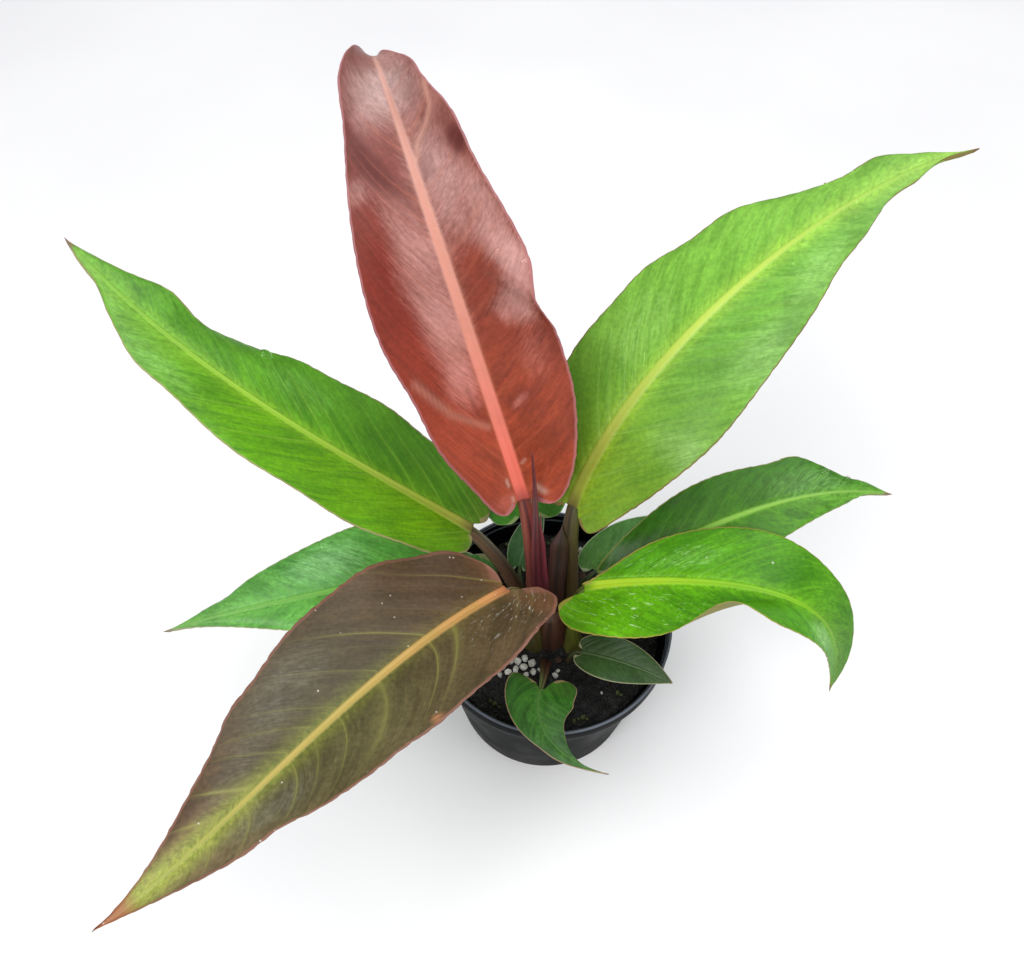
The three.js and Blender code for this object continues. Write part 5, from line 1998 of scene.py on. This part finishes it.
    def bit_tree(self) -> Growth:
        """The geometry tree that sets rough pebbles on marked points.

        Returns:
            The tree.
        """
        inputs = {
            "Flat": 0.7, "Rough": 0.0006, "Seed": 1,
            "Material": None,
        }
        grow = Growth("placed_bits", inputs)
        turn = grow.spread(tuple(-end for end in self.BIT_TURN), self.BIT_TURN, 3)
        pebbles = grow.balls(self.BIT_SQUASH, turn)
        grow.dressed(grow.roughened(pebbles, *self.BIT_ROUGH, grow.given["Rough"]))
        return grow

    def marks(self, bit: Bit) -> bpy.types.Mesh:
        """Points on the soil for one kind of bit, each with its half size.

        Args:
            bit: The kind of bit.

        Returns:
            The points.
        """
        mesh = bpy.data.meshes.new(bit.name)
        points = []
        for x, y, half in bit.places:
            ground = float(self.height(np.array(x), np.array(y))) + self.lump(x, y)
            points.append((x * MM, y * MM, (ground + half * bit.flat * (1 - bit.sink)) * MM))
        mesh.from_pydata(points, [], [])
        layer = mesh.attributes.new("half", "FLOAT", "POINT")
        layer.data.foreach_set("value", [half * MM for _, _, half in bit.places])
        return mesh

    def build(self) -> list[Piece]:
        """Make the soil and everything that lies on it.

        Returns:
            The pieces.
        """
        dark, crumb = self.dark.material(), self.crumb.material()
        bed = self.bed().piece("soil_bed", dark)
        values = {"Per square metre": self.crumb_density, "Half size": self.crumb_size * MM,
                  "Seed": self.seed, "Material": crumb}
        crumbs = self.scatter_tree().run("soil_crumbs", bed.data.copy(), values)
        pieces = [seat(bed, "soil"), seat(crumbs)]
        tree = self.bit_tree()
        for bit in BITS:
            material = bit.finish.material()
            values = {"Flat": bit.flat, "Rough": bit.rough, "Seed": bit.seed, "Material": material}
            pieces.append(seat(tree.run(bit.name, self.marks(bit), values, bit.smooth)))
        return pieces


BITS = (
    Bit("white_stones", (
        (-24.5, -24.0, 2.2), (-20.5, -21.6, 2.0), (-25.5, -19.6, 1.8), (-16.6, -21.8, 2.3),
        (-12.6, -19.9, 2.1), (-9.0, -22.5, 2.4), (-13.2, -24.6, 2.2), (-17.6, -26.4, 2.0),
        (-21.3, -27.6, 1.8), (-8.4, -26.8, 1.9), (-25.8, -28.4, 1.7), (-12.0, -28.8, 1.5),
        (-29.0, -23.6, 1.6), (-16.8, -30.2, 1.3), (-5.2, -25.4, 1.2), (3, -29, 1.7), (4.6, -26.4, 1.1),
        (18.9, 47.3, 1.6), (16.8, 21.6, 1.6), (-31, 8, 1.4), (30, 10, 1.3), (27, -38, 0.9),
        (-36, -24, 1.0), (-2, 44, 1.2), (-26, 33, 1.1), (43, 18, 1.0), (-44, 4, 0.9), (9, -38, 0.8),
    ), 0.85, EarthFinish("pale_stone", "b4b2ac", "f0eee8", 0.9, 260.0, 1600.0, 0.3), seed=3,
        sink=0.0, smooth=False, rough=0.0024),
    Bit("bark_bits", (
        (4.8, -20.1, 2.4), (19.4, 31.1, 2.8), (-33, -12, 2.2), (38, -14, 2.4), (-20, 44, 2.6),
        (-40, 18, 2.0), (26, -26, 1.8), (-14, -44, 2.3), (44, 2, 2.0), (6, 36, 2.1), (-4, -50, 1.8),
    ), 0.35, EarthFinish("bark", "2a1c14", "6a4a34", 0.85, 220.0, 1200.0, 0.4), seed=5),
    Bit("moss_tufts", (
        (12.2, -53.4, 1.5), (14.6, -52.2, 1.1), (16.8, -51, 1.6), (18.6, -52.4, 1.0), (35.4, -37.5, 1.5),
        (37.0, -39.0, 1.0), (-28.1, -44, 1.5), (-30.4, -42.6, 1.1), (-26.0, -45.6, 1.0), (3.2, 53, 1.6),
        (5.8, 51.6, 1.5), (1.1, 50.9, 1.4), (4.4, 49.4, 1.2), (7.4, 53.4, 1.1), (-23, 50, 1.3),
        (-21, 48.6, 1.1), (28, -22, 1.0), (30, -23.6, 0.8),
    ), 0.9, EarthFinish("moss", "2c3416", "66703a", 0.9, 300.0, 1200.0, 0.4), seed=9, sink=0.2),
)


# Drops of water on the blades: places in shares along and across, and half widths
DROPS = {
    "red": ((0.619, 0.675, 1.3), (0.627, 0.93, 1.5)),
    "green_right": (
        (0.672, 0.235, 1.0), (0.689, 0.115, 1.1), (0.727, 0.09, 0.7), (0.84, -0.94, 0.9),
        (0.872, -0.93, 0.9), (0.782, 0.04, 0.8), (0.912, -0.2, 0.8), (0.762, 0.93, 0.7),
    ),
    "green_left": ((0.697, 0.79, 3.2),),
    "back_right": ((0.83, -0.62, 2.6), (0.9, -0.9, 1.5), (0.734, 0.8, 1.6), (0.797, 0.85, 1.3)),
    "low_left": ((0.612, 0.83, 2.2),),
}


@dataclass(frozen=True)
class Rain:
    """The drops of water that lie on the blades."""

    flat: float = 0.42
    squash: float = 0.85
    rise: float = 0.12

    def tree(self) -> Growth:
        """The geometry tree that sets a low dome of water on every marked point.

        Returns:
            The tree.
        """
        grow = Growth("water_drops", {"Flat": 0.4, "Material": None})
        feeds = {"Vector": grow.named("outward", "FLOAT_VECTOR")}
        turn = grow.output("FunctionNodeAlignRotationToVector", feeds, axis="Z")
        grow.dressed(grow.balls(self.squash, turn))
        return grow

    def build(self, leaves: Sequence[Leaf]) -> Piece:
        """Make the drops.

        Args:
            leaves: The plant's leaves.

        Returns:
            The piece.
        """
        known = {leaf.name: leaf for leaf in leaves}
        places, normals, sizes = [], [], []
        for name, row, share, half in ((name, *drop) for name, drops in DROPS.items() for drop in drops):
            spot = known[name].surface(np.array([row]), np.array([share]))
            normal = unit(spot["top"] - spot["under"])[0]
            places.append(tuple((spot["top"][0] + normal * self.rise * half) * MM))
            normals.append(normal)
            sizes.append(half * MM)
        mesh = bpy.data.meshes.new("drop_places")
        mesh.from_pydata(places, [], [])
        outward = mesh.attributes.new("outward", "FLOAT_VECTOR", "POINT")
        outward.data.foreach_set("vector", np.array(normals, np.float32).ravel())
        mesh.attributes.new("half", "FLOAT", "POINT").data.foreach_set("value", sizes)
        values = {"Flat": self.flat, "Material": WaterFinish().material()}
        piece = self.tree().run("water_drops", mesh, values)
        return seat(piece)


# Studio


@dataclass(frozen=True)
class Lamp:
    """One large soft light: where it hangs and points, its side in metres and its watts."""

    name: str
    place: Triple
    target: Triple
    side: float
    power: float

    def hang(self) -> None:
        """Hang the light."""
        lamp = bpy.data.lights.new(self.name, "AREA")
        lamp.energy = self.power
        lamp.size = self.side
        hung = bpy.data.objects.new(self.name, lamp)
        aim = Vector(self.target) - Vector(self.place)
        hung.matrix_world = Matrix.Translation(self.place) @ aim.to_track_quat("-Z",
                                                                               "Y").to_matrix().to_4x4()
        bpy.context.scene.collection.objects.link(hung)


@dataclass(frozen=True)
class Studio:
    """The pale floor, the soft lights and the camera that took the photograph."""

    eye: Triple = (-0.0203, -0.2150, 0.5240)
    pitch: float = 54.98
    roll: float = 0.474
    lens: float = 31.64
    sensor: float = 36.0
    floor_half: float = 6.0
    floor_tint: str = "eeeef0"
    floor_pale: str = "f4f4f5"
    floor_clouds: float = 3.0
    sky_tint: str = "f6f7fa"
    sky: float = 0.4
    lamps: tuple[Lamp, ...] = (
        Lamp("window", (-0.7, -1.0, 1.5), (0, 0, 0.2), 1.2, 22.0),
        Lamp("ceiling", (0.3, 0.4, 2.2), (0, 0, 0.1), 1.8, 30.0),
        Lamp("fill", (1.4, -0.6, 0.9), (0, 0, 0.2), 1.0, 5.0),
    )

    def floor(self) -> None:
        """Lay the floor."""
        half = self.floor_half
        corners = [(-half, -half, 0), (half, -half, 0), (half, half, 0), (-half, half, 0)]
        mesh = bpy.data.meshes.new("studio_floor")
        mesh.from_pydata(corners, [], [(0, 1, 2, 3)])
        piece = link("studio_floor", mesh)
        graph = Paint("pale_floor")
        cloud = graph.noise(graph.body_place(), self.floor_clouds)
        tint = graph.tinted(linear(self.floor_tint), self.floor_pale, graph.swing(cloud))
        mesh.materials.append(graph.finish({"Base Color": tint, "Roughness": 0.8,
                                            "Specular IOR Level": 0.2}))

    def camera(self) -> None:
        """Place the camera as it stood for the photograph."""
        view = bpy.data.cameras.new("camera")
        view.lens = self.lens
        view.sensor_width = self.sensor
        view.sensor_fit = "HORIZONTAL"
        view.clip_start = 0.01
        view.clip_end = 50.0
        seen = bpy.data.objects.new("camera", view)
        pitch, roll = math.radians(self.pitch), math.radians(self.roll)
        forward = Vector((0, math.cos(pitch), -math.sin(pitch)))
        level = Vector((1, 0, 0))
        upright = level.cross(forward)
        right = math.cos(roll) * level + math.sin(roll) * upright
        up = -math.sin(roll) * level + math.cos(roll) * upright
        turn = Matrix((right, up, -forward)).transposed().to_4x4()
        seen.matrix_world = Matrix.Translation(self.eye) @ turn
        bpy.context.scene.collection.objects.link(seen)
        bpy.context.scene.camera = seen

    def build(self) -> None:
        """Set up the floor, the lights, the sky and the camera."""
        self.floor()
        for lamp in self.lamps:
            lamp.hang()
        self.camera()
        world = bpy.data.worlds.new("studio_sky")
        world.use_nodes = True
        back = world.node_tree.nodes["Background"]
        back.inputs["Color"].default_value = linear(self.sky_tint)
        back.inputs["Strength"].default_value = self.sky
        bpy.context.scene.world = world
        bpy.context.scene.view_settings.view_transform = "Standard"


def report(title: str, made: Iterable[Piece]) -> None:
    """Log what a step made."""
    LOG.info("%s: %s", title, ", ".join(piece.name for piece in made))


def main() -> None:
    """Build the plant's pieces in order, then the studio."""
    logging.basicConfig(level=logging.INFO, format="%(message)s")
    report("pot", [Pot().build()])
    report("soil", Soil().build())
    report("crown", Crown().build())
    for leaf in LEAVES:
        report(leaf.name, leaf.build())
    report("water", [Rain().build(LEAVES)])
    Studio().build()
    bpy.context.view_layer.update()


if __name__ == "__main__":
    main()
